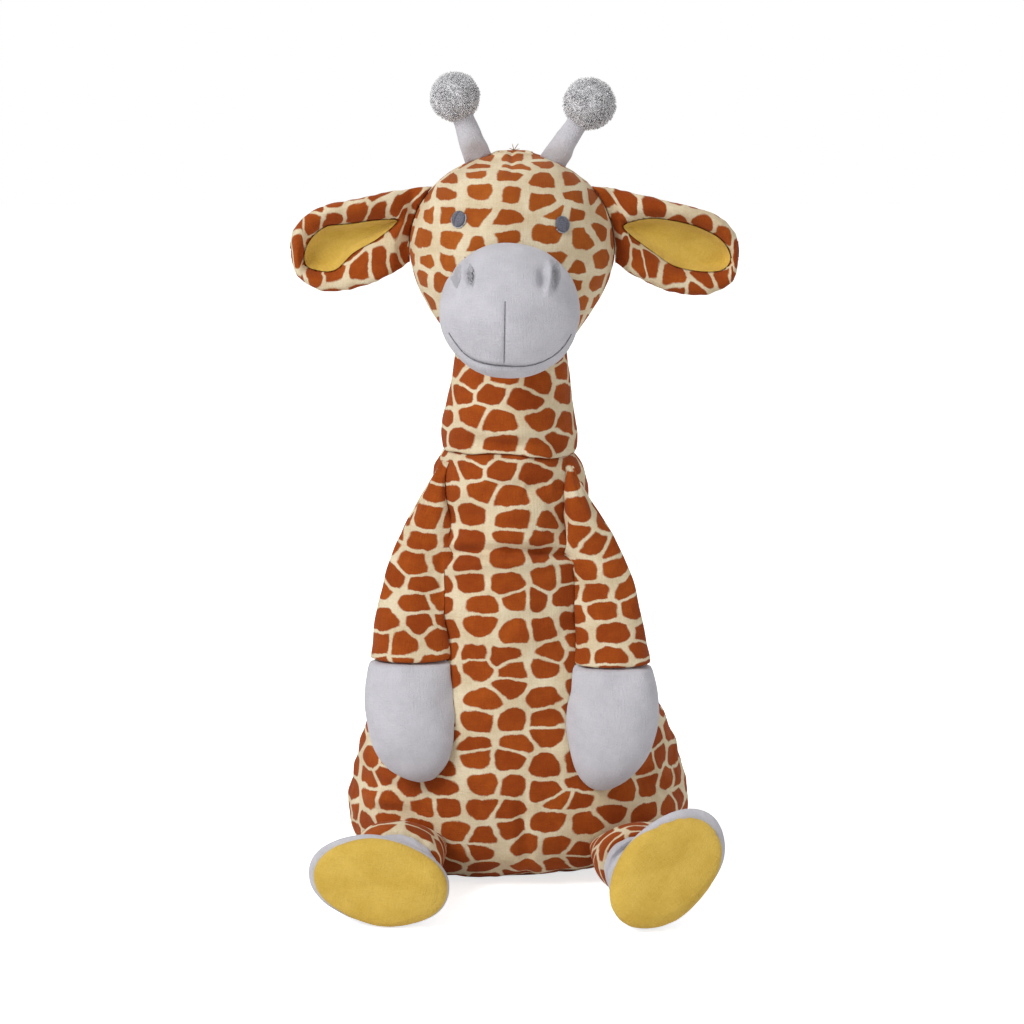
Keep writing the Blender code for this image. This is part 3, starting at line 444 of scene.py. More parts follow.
def press_out(grid, tree, gap=SKIN_GAP):
    """Moves points that lie inside a neighbour out to its surface."""
    flat = grid.reshape(-1, 3).copy()
    for i, point in enumerate(flat):
        depth, place, normal = outside(point, tree)
        if depth < gap:
            flat[i] = place + normal * gap
    return flat.reshape(grid.shape)


def relax(grid, tree):
    """Evens out a pressed form a little, clear of its neighbour."""
    for _ in range(3):
        around = np.roll(grid, 1, axis=1) + np.roll(grid, -1, axis=1)
        along = np.concatenate([grid[:1], grid[:-1]]) + np.concatenate([grid[1:], grid[-1:]])
        grid = press_out(0.5 * grid + 0.125 * (around + along), tree)
    return grid


def trim_root(grid, tree, gap=SKIN_GAP, cap_rows=3):
    """Starts each column where it comes out of a neighbour, and closes the root along that surface."""
    rows, columns = grid.shape[:2]
    trimmed = np.zeros_like(grid)
    for c in range(columns):
        line = grid[:, c]
        depth = np.array([outside(p, tree)[0] for p in line]) - gap
        inside = np.nonzero(depth < 0)[0]
        start = 0.0
        if len(inside) and inside[-1] < rows - 1:
            i = inside[-1]
            start = i + depth[i] / (depth[i] - depth[i + 1])
        at = start + (rows - 1 - start) * np.linspace(0, 1, rows)
        for axis in range(3):
            trimmed[:, c, axis] = np.interp(at, np.arange(rows), line[:, axis])
    root, caps = trimmed[0], []
    middle = root.mean(axis=0)
    for k in range(cap_rows, 0, -1):
        ring = middle + (root - middle) * (1 - k / (cap_rows + 0.2))
        for i, point in enumerate(ring):
            _, place, normal = outside(point, tree)
            ring[i] = place + normal * gap
        caps.append(ring)
    return np.concatenate([np.array(caps), trimmed]), cap_rows


def closed_curve(points, count):
    """Evenly numbered points on a smooth closed curve through a few."""
    p = np.array(points, float)
    before, after, beyond = np.roll(p, 1, axis=0), np.roll(p, -1, axis=0), np.roll(p, -2, axis=0)
    fine = []
    for t in np.arange(16) / 16:
        fine.append(p * (1 - 2.5 * t ** 2 + 1.5 * t ** 3) + after * (0.5 * t + 2 * t ** 2 - 1.5 * t ** 3)
                    + before * (-0.5 * t + t ** 2 - 0.5 * t ** 3) + beyond * (-0.5 * t ** 2 + 0.5 * t ** 3))
    fine = np.array(fine).transpose(1, 0, 2).reshape(-1, p.shape[1])
    fine = np.vstack([fine, fine[:1]])
    run = np.concatenate([[0], np.cumsum(np.linalg.norm(np.diff(fine, axis=0), axis=1))])
    at = np.arange(count) / count * run[-1]
    return np.stack([np.interp(at, run, fine[:, k]) for k in range(p.shape[1])], axis=1)


def outline_distance(points, outline):
    """How far points are outside an outline; negative inside it."""
    around = np.vstack([outline, outline[:1]])
    distance, _ = distance_to_path(points, around)
    inside = np.zeros(len(points), bool)
    for (ax, az), (bx, bz) in zip(around, around[1:]):
        crosses = (az > points[:, 1]) != (bz > points[:, 1])
        inside ^= crosses & (points[:, 0] < (bx - ax) * (points[:, 1] - az) / (bz - az + 1e-12) + ax)
    return np.where(inside, -distance, distance)


PAD_PROFILE = (  # share of the outline and of the thickness, from the middle of the back to that of the front
    (0.02, 0.0), (0.35, 0.0), (0.70, 0.0), (0.90, 0.0), (0.985, 0.0), (1.0, 0.30), (0.990, 0.62), (0.965, 0.80),
    (0.93, 0.90), (0.86, 1.0), (0.76, 1.02), (0.64, 1.04), (0.50, 1.06), (0.36, 1.07), (0.20, 1.08), (0.08, 1.08),
    (0.02, 1.08),
)


def pad_on(name, tree, outline, thick):
    """A sewn pad with an outline in x and z that lies on a form's front."""
    around = closed_curve(outline, 88)
    middle = around.mean(axis=0)
    rows = [[on_front(tree, *(middle + (place - middle) * reach), SKIN_GAP + thick * lift) for place in around]
            for reach, lift in PAD_PROFILE]
    return cloth_piece(name, np.array(rows), seams=())


# Cloth
def stuff(grid, held, name):
    """Cloth on its filling: pressed out from inside, held at its seams, and moved no further than the cap."""
    made = plain_mesh("cloth_trial", grid)
    pins = made.vertex_groups.new(name="held")
    pins.add([int(i) for i in np.nonzero(held.ravel())[0]], 1.0, "REPLACE")
    settings = made.modifiers.new("cloth", "CLOTH").settings
    for key, value in CLOTH_SETTINGS.items():
        setattr(settings, key, value)
    settings.shrink_min = -CLOTH_SLACK[name]
    settings.vertex_group_mass = pins.name
    settings.effector_weights.gravity = 0
    scene = bpy.context.scene
    for step in range(1, CLOTH_FRAMES + 1):
        scene.frame_set(step)
    settled = made.evaluated_get(bpy.context.evaluated_depsgraph_get())
    count = grid.shape[0] * grid.shape[1]
    points = np.array([v.co for v in settled.data.vertices])[:count].reshape(grid.shape)
    mesh = made.data
    bpy.data.objects.remove(made)
    bpy.data.meshes.remove(mesh)
    scene.frame_set(1)
    move = points - grid
    length = np.maximum(np.linalg.norm(move, axis=2, keepdims=True), 1e-9)
    return grid + move * np.minimum(1, CLOTH_CAP[name] / length)


def smooth_object(name, mesh):
    """A mesh as an object in the scene, smoothly shaded."""
    mesh.shade_smooth()
    made = bpy.data.objects.new(name, mesh)
    bpy.context.scene.collection.objects.link(made)
    return made


def plain_mesh(name, grid):
    """A closed mesh object of a grid."""
    rows, columns = grid.shape[:2]
    points = [tuple(p) for p in grid.reshape(-1, 3)]
    points += [tuple(grid[0].mean(axis=0)), tuple(grid[-1].mean(axis=0))]
    faces = []
    for c in range(columns):
        d = (c + 1) % columns
        faces += [(r * columns + c, r * columns + d, (r + 1) * columns + d, (r + 1) * columns + c)
                  for r in range(rows - 1)]
        faces += [(d, c, len(points) - 2), ((rows - 1) * columns + c, (rows - 1) * columns + d, len(points) - 1)]
    mesh = bpy.data.meshes.new(name)
    mesh.from_pydata(points, [], faces)
    bm = bmesh.new()
    bm.from_mesh(mesh)
    bmesh.ops.recalc_face_normals(bm, faces=bm.faces)
    bm.to_mesh(mesh)
    bm.free()
    return smooth_object(name, mesh)


def panel_coordinates(grid, seams, start, shift):
    """Cloth coordinates in metres: across each panel from its middle, and along it."""
    rows, columns = grid.shape[:2]
    steps = steps_round(grid)
    v = start + np.concatenate([[0], np.cumsum(np.linalg.norm(np.diff(grid, axis=0), axis=2).mean(axis=1))])
    u = np.zeros((rows, columns, 2))
    for index, first in enumerate(seams):
        last = seams[(index + 1) % len(seams)]
        width = (last - first - 1) % columns + 1
        cells = [(first + k) % columns for k in range(width)]
        run = np.concatenate([np.zeros((rows, 1)), np.cumsum(steps[:, cells], axis=1)], axis=1)
        run = run - run[:, [width // 2]] + shift + index * 0.37
        for k, cell in enumerate(cells):
            u[:, cell, 0], u[:, cell, 1] = run[:, k], run[:, k + 1]
    return u, v


def cloth_piece(name, grid, seams=(0,), start=0.0, shift=0.0):
    """A mesh object of a grid with its cloth coordinates as a UV map; without seams they spread from its end."""
    made = plain_mesh(name, grid)
    rows, columns = grid.shape[:2]
    layer = made.data.uv_layers.new(name="cloth")
    corners = np.zeros((len(made.data.loops), 2), dtype=np.float32)
    if not seams:
        steps = np.linalg.norm(np.diff(grid, axis=0), axis=2).mean(axis=1)
        last = np.linalg.norm(grid[-1, 0] - grid[-1].mean(axis=0))
        run = np.concatenate([np.cumsum(steps[::-1])[::-1], [0]])[:, None] + last
        angles = np.arange(columns) * math.tau / columns
        places = np.stack([run * np.cos(angles), run * np.sin(angles)], axis=2).reshape(-1, 2)
        places = np.vstack([places, places[:columns].mean(axis=0), [0, 0]])
        indices = np.array([loop.vertex_index for loop in made.data.loops])
        layer.data.foreach_set("uv", places[indices].astype(np.float32).ravel())
        return made
    u, v = panel_coordinates(grid, sorted(seams), start, shift)
    for face in made.data.polygons:
        grid_corners = [i for i in face.vertices if i < rows * columns]
        ends = {i % columns for i in grid_corners}
        first = min(ends) if max(ends) - min(ends) < 2 else max(ends)
        for loop in face.loop_indices:
            i = made.data.loops[loop].vertex_index
            if i >= rows * columns:
                r, side = (0 if i == rows * columns else rows - 1), 0
            else:
                r, side = i // columns, 0 if i % columns == first else 1
            corners[loop] = u[r, first, side], v[r]
    layer.data.foreach_set("uv", corners.ravel())
    return made


def dress(made, material, body, nodes=(), levels=1):
    """Gives a piece its finish, its body when that is one name (else it only fixes the piece's place), and the CAD
    nodes it stands for.
    """
    made.data.materials.clear()
    made.data.materials.append(material)
    if levels:
        smoothing = made.modifiers.new("smooth", "SUBSURF")
        smoothing.levels = smoothing.render_levels = levels
    if isinstance(body, str):
        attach(made, body)
    else:
        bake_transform(made)
    if nodes:
        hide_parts(*nodes)
    return made


# Shader building
def add(tree, kind, values=(), **settings):
    """A node with its settings, its values and its links."""
    made = tree.nodes.new(kind)
    for key, value in settings.items():
        setattr(made, key, value)
    for key, value in dict(values).items():
        if isinstance(value, bpy.types.NodeSocket):
            tree.links.new(value, made.inputs[key])
        else:
            made.inputs[key].default_value = value
    return made


def calc(tree, operation, *values, clamp=False):
    """The result of a math node."""
    return add(tree, "ShaderNodeMath", dict(enumerate(values)), operation=operation, use_clamp=clamp).outputs[0]


def ramp(tree, value, low, high):
    """A smooth step of a value between two limits."""
    return add(tree, "ShaderNodeMapRange", {0: value, 1: low, 2: high}, interpolation_type="SMOOTHSTEP").outputs[0]


def mix(tree, factor, first, second, blend_type="MIX"):
    """A mix of two colours."""
    return add(tree, "ShaderNodeMix", {0: factor, 6: first, 7: second}, data_type="RGBA",
               blend_type=blend_type).outputs[2]


def new_group(name, inputs, outputs):
    """An empty shader node group with named sockets."""
    tree = bpy.data.node_groups.new(name, "ShaderNodeTree")
    for direction, sockets in (("INPUT", inputs), ("OUTPUT", outputs)):
        for label, kind in sockets:
            tree.interface.new_socket(name=label, in_out=direction, socket_type=f"NodeSocket{kind}")
    return tree, tree.nodes.new("NodeGroupInput"), tree.nodes.new("NodeGroupOutput")


def build_pile_group():
    """Short velour pile: fine fibres, clumps, faint knitted rows both ways and the way the nap was brushed."""
    tree, given, put = new_group("short_pile", (("Vector", "Vector"), ("Pile", "Float"), ("Clump", "Float")),
                                 (("Shade", "Float"), ("Height", "Float")))
    vector, parts = given.outputs["Vector"], []
    for size, scales, detail, share in (("Pile", (1, 1, 1), 2.0, 0.36), ("Clump", (1, 1, 1), 3.0, 0.24),
                                        ("Pile", (1, 0.10, 1), 1.0, 0.22), ("Pile", (0.10, 1, 1), 1.0, 0.18)):
        stretched = add(tree, "ShaderNodeMapping", {"Vector": vector, "Scale": scales}).outputs[0]
        texture = add(tree, "ShaderNodeTexNoise", {"Vector": stretched, "Detail": detail, "Roughness": 0.6,
                                                   "Scale": calc(tree, "DIVIDE", 1.0, given.outputs[size])})
        parts.append(calc(tree, "MULTIPLY", ramp(tree, texture.outputs[0], 0.27, 0.73), share))
    height = calc(tree, "ADD", calc(tree, "ADD", parts[0], parts[1]), calc(tree, "ADD", parts[2], parts[3]))
    tree.links.new(height, put.inputs["Height"])
    brushed = add(tree, "ShaderNodeTexNoise", {"Vector": vector, "Scale": 60.0, "Detail": 2.0})
    shade = calc(tree, "ADD", calc(tree, "MULTIPLY", height, 0.6),
                 calc(tree, "MULTIPLY", ramp(tree, brushed.outputs[0], 0.3, 0.7), 0.4))
    tree.links.new(shade, put.inputs["Shade"])
    return tree


PILE_GROUP = build_pile_group()


def fabric(name, sheen=0.35):
    """A material with its shader, cloth coordinates and nothing else yet."""
    made = bpy.data.materials.new(name)
    made.use_nodes = True
    tree = made.node_tree
    shader = tree.nodes["Principled BSDF"]
    shader.inputs["Roughness"].default_value = 0.92
    shader.inputs["Specular IOR Level"].default_value = 0.2
    shader.inputs["Sheen Weight"].default_value = sheen
    shader.inputs["Sheen Roughness"].default_value = 0.45
    cloth = add(tree, "ShaderNodeUVMap", uv_map="cloth").outputs[0]
    return made, tree, shader, cloth


def pile_on(tree, shader, cloth, pile, clump, depth):
    """Places the pile group and its bump, and gives its shade."""
    group = add(tree, "ShaderNodeGroup", node_tree=PILE_GROUP)
    tree.links.new(cloth, group.inputs["Vector"])
    group.inputs["Pile"].default_value = pile
    group.inputs["Clump"].default_value = clump
    bump = add(tree, "ShaderNodeBump", {"Height": group.outputs["Height"], "Distance": depth, "Strength": 0.7})
    tree.links.new(bump.outputs[0], shader.inputs["Normal"])
    return group.outputs["Shade"]


def plush(name, dark, light, pile=0.0008, clump=0.0032, depth=0.0005, sheen=0.2):
    """A plush of one colour."""
    made, tree, shader, cloth = fabric(name, sheen)
    shade = pile_on(tree, shader, cloth, pile, clump, depth)
    tree.links.new(mix(tree, shade, (*dark, 1), (*light, 1)), shader.inputs["Base Color"])
    return made


def giraffe_print(name, gap, deep_brown, light_brown):
    """Cream plush with rust-brown patches in uneven rows: rounded cells, each with its own tone."""
    made, tree, shader, cloth = fabric(name, 0.04)
    shade = pile_on(tree, shader, cloth, 0.0008, 0.0030, 0.0005)
    moved = cloth
    for scale, reach in ((1500.0, 0.0006), (170.0, 0.0026), (50.0, 0.0070)):
        texture = add(tree, "ShaderNodeTexNoise", {"Vector": cloth, "Scale": scale, "Detail": 1.0})
        centred = add(tree, "ShaderNodeVectorMath", {0: texture.outputs["Color"], 1: (0.5, 0.5, 0.5)},
                      operation="SUBTRACT").outputs[0]
        scaled = add(tree, "ShaderNodeVectorMath", {0: centred, 3: reach}, operation="SCALE").outputs[0]
        moved = add(tree, "ShaderNodeVectorMath", {0: moved, 1: scaled}, operation="ADD").outputs[0]
    cells = add(tree, "ShaderNodeMapping", {"Vector": moved, "Scale": (1 / PATCH_PITCH[0], 1 / PATCH_PITCH[1], 1)})
    patches = {}
    for feature in ("DISTANCE_TO_EDGE", "F1"):
        patches[feature] = add(tree, "ShaderNodeTexVoronoi", {"Vector": cells.outputs[0], "Scale": 1.0,
                                                              "Randomness": PATCH_RANDOMNESS},
                               voronoi_dimensions="2D", feature=feature)
    edge = calc(tree, "SUBTRACT", patches["DISTANCE_TO_EDGE"].outputs["Distance"], gap)
    corner = calc(tree, "MULTIPLY", calc(tree, "SUBTRACT", PATCH_REACH, patches["F1"].outputs["Distance"]), 0.8)
    inside = ramp(tree, calc(tree, "SMOOTH_MIN", edge, corner, 0.32), -0.070, -0.010)
    tone = add(tree, "ShaderNodeSeparateColor", {0: patches["F1"].outputs["Color"]}).outputs[0]
    mottle = add(tree, "ShaderNodeTexNoise", {"Vector": cloth, "Scale": 240.0, "Detail": 3.0})
    tone = calc(tree, "ADD", calc(tree, "MULTIPLY", tone, 0.45), calc(tree, "MULTIPLY", mottle.outputs[0], 0.55))
    brown = mix(tree, tone, (*deep_brown, 1), (*light_brown, 1))
    brown = mix(tree, calc(tree, "MULTIPLY", shade, 0.75), (*deep_brown, 1), brown)
    cream = mix(tree, shade, (*CREAM_DEEP, 1), (*CREAM_LIGHT, 1))
    tree.links.new(mix(tree, inside, cream, brown), shader.inputs["Base Color"])
    return made


def thread(name, colour, deep=0.38):
    """Shiny embroidery thread."""
    made = bpy.data.materials.new(name)
    made.use_nodes = True
    tree = made.node_tree
    shader = tree.nodes["Principled BSDF"]
    shader.inputs["Roughness"].default_value = 0.45
    shader.inputs["Sheen Weight"].default_value = 0.2
    place = add(tree, "ShaderNodeTexCoord").outputs["Object"]
    strands = add(tree, "ShaderNodeTexNoise", {"Vector": place, "Scale": 2600.0, "Detail": 2.0})
    dark = tuple(deep * c for c in colour)
    shade = ramp(tree, strands.outputs[0], 0.35, 0.68)
    tree.links.new(mix(tree, shade, (*dark, 1), (*colour, 1)), shader.inputs["Base Color"])
    bump = add(tree, "ShaderNodeBump", {"Height": strands.outputs[0], "Distance": 0.0002, "Strength": 0.6})
    tree.links.new(bump.outputs[0], shader.inputs["Normal"])
    return made


def loose_fibre(name, dark, light):
    """Filling and yarn, coloured by their own place."""
    made = bpy.data.materials.new(name)
    made.use_nodes = True
    tree = made.node_tree
    shader = tree.nodes["Principled BSDF"]
    shader.inputs["Roughness"].default_value = 0.95
    shader.inputs["Sheen Weight"].default_value = 0.4
    shader.inputs["Subsurface Weight"].default_value = 0.5
    shader.inputs["Subsurface Radius"].default_value = (1.0, 1.0, 1.0)
    shader.inputs["Subsurface Scale"].default_value = 0.002
    place = add(tree, "ShaderNodeTexCoord").outputs["Object"]
    tufts = add(tree, "ShaderNodeTexNoise", {"Vector": place, "Scale": 900.0, "Detail": 3.0})
    tree.links.new(mix(tree, tufts.outputs[0], (*dark, 1), (*light, 1)), shader.inputs["Base Color"])
    bump = add(tree, "ShaderNodeBump", {"Height": tufts.outputs[0], "Distance": 0.0003, "Strength": 0.5})
    tree.links.new(bump.outputs[0], shader.inputs["Normal"])
    return made


# Colours, linear
CREAM_DEEP = (0.600, 0.450, 0.260)
CREAM_LIGHT = (0.880, 0.780, 0.570)
BROWN_DEEP = (0.260, 0.040, 0.003)
BROWN_LIGHT = (0.600, 0.138, 0.013)
FACE_BROWN_DEEP = (0.310, 0.062, 0.006)
FACE_BROWN_LIGHT = (0.640, 0.190, 0.024)
PATCH_PITCH = (0.0176, 0.0114)
PATCH_RANDOMNESS = 0.58
PATCH_GAP = 0.098
FACE_PATCH_GAP = 0.185
PATCH_REACH = 0.54

PRINT = giraffe_print("giraffe_print_plush", PATCH_GAP, BROWN_DEEP, BROWN_LIGHT)
FACE_PRINT = giraffe_print("giraffe_print_face", FACE_PATCH_GAP, FACE_BROWN_DEEP, FACE_BROWN_LIGHT)
GREY = plush("grey_plush", (0.490, 0.482, 0.520), (0.655, 0.642, 0.685))
YELLOW = plush("yellow_plush", (0.590, 0.370, 0.050), (0.790, 0.545, 0.115))
POMPOM = loose_fibre("grey_pompom", (0.890, 0.876, 0.906), (0.985, 0.972, 0.992))
SLATE = thread("slate_thread", (0.175, 0.180, 0.235))
GREY_THREAD = thread("grey_thread", (0.280, 0.275, 0.300))
CROWN_THREAD = thread("crown_thread", (0.620, 0.330, 0.120))
# pale thread for the eyes' rims; on the nostrils its leaves, darker than the plush, also paint the shade of their
# creases
PALE_THREAD = thread("pale_thread", (0.560, 0.550, 0.585), 0.65)
# painted shade: a soft grey leaf of thread on the left nostril, where the hollow beside its ridge stays lit
NOSTRIL_PAINTED_SHADE_THREAD = thread("nostril_painted_shade_thread", (0.520, 0.515, 0.550), 0.85)
FILLING = loose_fibre("polyester_filling", (0.70, 0.70, 0.68), (0.88, 0.88, 0.86))
CANVAS = plush("pellet_bag_canvas", (0.45, 0.42, 0.36), (0.62, 0.58, 0.50), sheen=0.0)


# Body
BODY_CURVE = curve_through(BODY_SHARES, np.linspace(0, len(BODY_SHARES) - 1, 65))
HEAD_CURVE = curve_through(HEAD_SHARES, np.linspace(0, len(HEAD_SHARES) - 1, 49))


def body_half_sizes(height):
    """The body's half width and half depth at a height."""
    at = height / BODY_HEIGHT
    return BODY_HALF_WIDTH * between(BODY_CURVE, at, 1), BODY_HALF_DEPTH * between(BODY_CURVE, at, 2)


def body_shift(height):
    """How far the body leans to its left at a height."""
    return BODY_BASE_SHIFT + (BODY_TOP_SHIFT - BODY_BASE_SHIFT) * min(1, height / (BODY_HEIGHT / 2))


def body_front(x, height):
    """The y of the body's front at a place across it."""
    half_width, half_depth = body_half_sizes(height)
    share = min(1, abs(x - body_shift(height)) / half_width)
    return -half_depth * math.sqrt(1 - share * share)


def body_form():
    """The body's grid, flat where it sits."""
    rings = [(body_shift(BODY_HEIGHT * height), 0, BODY_HEIGHT * height, BODY_HALF_WIDTH * width,
              BODY_HALF_DEPTH * depth) for height, width, depth in BODY_SHARES]
    return round_ends(form(rings, Y_AXIS), 0.0, 0.003, rows=5)


def at_rest(grid):
    """Keeps a form above the floor."""
    grid = grid.copy()
    grid[..., 2] = np.maximum(grid[..., 2], FLOOR_LIFT)
    return grid


BODY_FOLDS = (  # depth, width, ridge, fade, and the line's x and z
    (0.0060, 0.0024, 0.0026, 0.5, ((-0.040, 0.162), (-0.0295, 0.1645), (-0.0157, 0.1672), (0, 0.1682),
                                   (0.0162, 0.1668), (0.0295, 0.1635), (0.038, 0.161))),
    (0.0020, 0.0026, 0.0012, 0.7, ((0.0120, 0.1600), (0.0220, 0.1585), (0.0320, 0.1560))),
    (0.0030, 0.0024, 0.0012, 0.4, ((0.0040, 0.048), (0.0052, 0.040), (0.0062, 0.030), (0.0072, 0.019),
                                   (0.0080, 0.007))),
    (0.0032, 0.0030, 0.0018, 0.7, ((0.050, 0.060), (0.062, 0.054), (0.075, 0.046), (0.088, 0.036))),
    (0.0026, 0.0028, 0.0014, 0.7, ((0.058, 0.049), (0.067, 0.044), (0.078, 0.036))),
    (0.0026, 0.0032, 0.0016, 0.7, ((-0.078, 0.050), (-0.066, 0.047), (-0.056, 0.049), (-0.044, 0.056))),
    (0.0022, 0.0028, 0.0014, 0.7, ((-0.074, 0.040), (-0.064, 0.036), (-0.054, 0.038))),
    (0.0016, 0.0036, 0.0010, 0.8, ((-0.020, 0.136), (-0.004, 0.132), (0.014, 0.135))),
    (-0.0016, 0.0050, 0.0, 0.8, ((-0.030, 0.2050), (0, 0.2065), (0.030, 0.2050))),
)
NECK_FOLDS = (
    (0.0032, 0.0034, 0.0022, 0.6, ((-0.026, 0.2180), (-0.0188, 0.2196), (0, 0.2184), (0.0178, 0.2191),
                                   (0.027, 0.2165))),
    (0.0020, 0.0022, 0.0010, 0.6, ((0.004, 0.2115), (0.0125, 0.2122), (0.0185, 0.2100), (0.0230, 0.2060))),
)
CREST_FOLDS = (
    (0.0011, 0.0014, 0.0003, 0.4, ((0.0, 0.3640), (0.0, 0.361), (0.0, 0.357), (0.0, 0.353))),
)
NECK_SAG = 0.0034
BODY_HELD = (0.002, 0.208)  # the cloth simulation holds the body below the first height and above the second
NECK_CREASE = ((0, 0, 0.190), (0, 0, 0.215))  # the crease between the body and the neck, its lower and upper ends
NAPE_CREASE = ((0, 0, 0.235), (0, 0, 0.265))


def front_folds(grid, table):
    """The creases that the photograph shows on a form's front."""
    tree = tree_of(grid)
    for depth, width, ridge, fade, places in table:
        grid = fold(grid, [on_front(tree, x, z) for x, z in places], depth, width, ridge, fade)
    return grid


def make_body():
    """The printed body and its filling."""
    plain = body_form()
    low, high = BODY_HELD
    held = (plain[..., 2] < low) | (plain[..., 2] > high)
    held[:, [0, plain.shape[1] // 2]] = True
    grid = front_folds(lumps(finer(stuff(plain, held, "body")), "body"), BODY_FOLDS)
    grid = at_rest(side_seams(grid, "body"))
    cloth = cloth_piece("body_cloth", grid, (0, grid.shape[1] // 2), shift=0.0045)
    dress(cloth, PRINT, ("torso", "neck", *NECK_CREASE), ["body_skin"])
    inner = at_rest(plain - normals(plain) * FILLING_DEPTH) + np.array([0, 0, LINING_DEPTH])
    inner = np.minimum(inner, [1, 1, BODY_HEIGHT - 2 * LINING_DEPTH])[::2, ::2] * [0.97, 0.97, 1.0]
    filling = cloth_piece("body_filling", lumps(inner, "body filling"))
    dress(filling, FILLING, "torso", ["body_stuffing"])
    return grid


def make_pellet_bag():
    """The small bag of pellets in the seat."""
    rings = [(BODY_BASE_SHIFT, 0, 0.004 + (PELLET_BAG_HEIGHT - 0.006) * height,
              PELLET_BAG_HALF_WIDTH * width * 0.93, PELLET_BAG_HALF_DEPTH * width * 0.93)
             for height, width in PELLET_BAG_SHARES]
    grid = round_ends(form(rings, Y_AXIS), 0.001, 0.002)
    bag = cloth_piece("pellet_bag_canvas", lumps(grid, "pellet bag"))
    dress(bag, CANVAS, "torso", ["pellet_bag"])


# Neck
def make_neck(body_tree):
    """The neck, which folds over the body's top."""
    rings = [(BODY_TOP_SHIFT * (1 - height), 0, NECK_BOTTOM + NECK_HEIGHT * height, NECK_HALF_WIDTH * width,
              NECK_HALF_DEPTH * depth) for height, width, depth in NECK_SHARES]
    grid, caps = trim_root(finer(form(rings, Y_AXIS)), body_tree)
    grid = lumps(grid, "neck")
    low = np.exp(-((grid[..., 2] - grid[caps, :, 2].mean()) / 0.012) ** 2)
    grid[..., 2] -= NECK_SAG * low * noise_at(grid * [1, 1, 0], 0.017, 9.3)
    grid = round_ends(press_out(front_folds(grid, NECK_FOLDS), body_tree), None, 0.002)
    grid = side_seams(grid, "neck")
    neck = cloth_piece("neck_cloth", grid, (0, grid.shape[1] // 2), start=0.21, shift=0.011)
    dress(neck, PRINT, ("neck", "head", *NAPE_CREASE), ["neck"])


# Head
def head_form():
    """The head's grid."""
    rings = [(0, -HEAD_FORWARD * forward, HEAD_BOTTOM + HEAD_HEIGHT * height, HEAD_HALF_WIDTH * width,
              HEAD_HALF_DEPTH * depth) for height, width, depth, forward in HEAD_SHARES]
    return round_ends(form(rings, Y_AXIS), 0.001, 0.002)


def make_head():
    """The printed head and its filling."""
    plain = head_form()
    held = np.zeros(plain.shape[:2], bool)
    held[:, [0, plain.shape[1] // 2]] = True
    held[:3] = held[-3:] = True
    grid = side_seams(lumps(finer(stuff(plain, held, "head")), "head"), "head")
    grid = front_folds(grid, CREST_FOLDS)
    cloth = cloth_piece("head_cloth", grid, (0, grid.shape[1] // 2), shift=0.004, start=0.003)
    dress(cloth, FACE_PRINT, "head", ["head_skin"])
    inner = (plain - normals(plain) * LINING_DEPTH)[::2, ::2]
    filling = cloth_piece("head_filling", lumps(inner, "head filling"))
    dress(filling, FILLING, "head", ["head_stuffing"])
    return grid


def make_muzzle(head_tree):
    """The grey muzzle, sewn onto the head."""
    back = -(HEAD_FORWARD + HEAD_HALF_DEPTH) + MUZZLE_LENGTH * MUZZLE_SHARES[2][0] / 2
    rings = [(MUZZLE_SHIFT, back - MUZZLE_LENGTH * length,
              HEAD_MIDDLE - MUZZLE_CENTRE_BELOW_HEAD_MIDDLE - MUZZLE_DROP * length,
              MUZZLE_HALF_WIDTH * width, MUZZLE_HALF_HEIGHT * height) for length, width, height in MUZZLE_SHARES]
    grid = finer(finer(round_ends(form(rings, Z_AXIS), None, 0.0021, lean=1.16)))
    grid, caps = trim_root(grid, head_tree)
    grid = seam_across(lumps(grid, "muzzle"), caps, "muzzle")
    tree = tree_of(grid)
    for ridge, hollow, depth, leaves in NOSTRILS.values():
        grid = fold(grid, line_on(tree, ridge, 0.0, 9), -0.0024, 0.0013, 0.0, 0.7)
        grid = fold(grid, line_on(tree, hollow, 0.0, 9), depth, 0.0021, 0.0, 0.9)
        x, z, _, half = leaves[0]
        grid = fold(grid, line_on(tree, ((x, z + half), (x, z), (x, z - half)), 0.0, 9), 0.0024, 0.0016, 0.0, 0.8)
    for depth, width, ridge, fade, places, count in MUZZLE_FOLDS:
        grid = fold(grid, line_on(tree, places, 0.0, count), depth, width, ridge, fade)
    grid = press_out(grid, head_tree)
    muzzle = cloth_piece("muzzle_cloth", grid, ())
    dress(muzzle, GREY, "head", ["muzzle"], levels=0)
    return grid


# Ears
def ear_root(side):
    """The middle of an ear's seam on the side of the head."""
    height = HEAD_MIDDLE + EAR_ROOT_ABOVE_HEAD_MIDDLE
    at = (height - HEAD_BOTTOM) / HEAD_HEIGHT
    return Vector((side * HEAD_HALF_WIDTH * between(HEAD_CURVE, at, 1), -HEAD_FORWARD, height))


def ear_rings(side):
    """The rings of an ear from its seam outwards."""
    root, rings = ear_root(side), []
    for reach, height, drop, thick in EAR_SHARES:
        through = EAR_ROOT_HALF_THICK + (EAR_HALF_THICK - EAR_ROOT_HALF_THICK) * thick
        middle = root + Vector((side * EAR_REACH[side] * reach, EAR_SWEEP_BACK * reach, -EAR_DROOP[side] * drop))
        rings.append((*middle, EAR_HALF_HEIGHT * height, through, EAR_CUP * thick))
    return rings


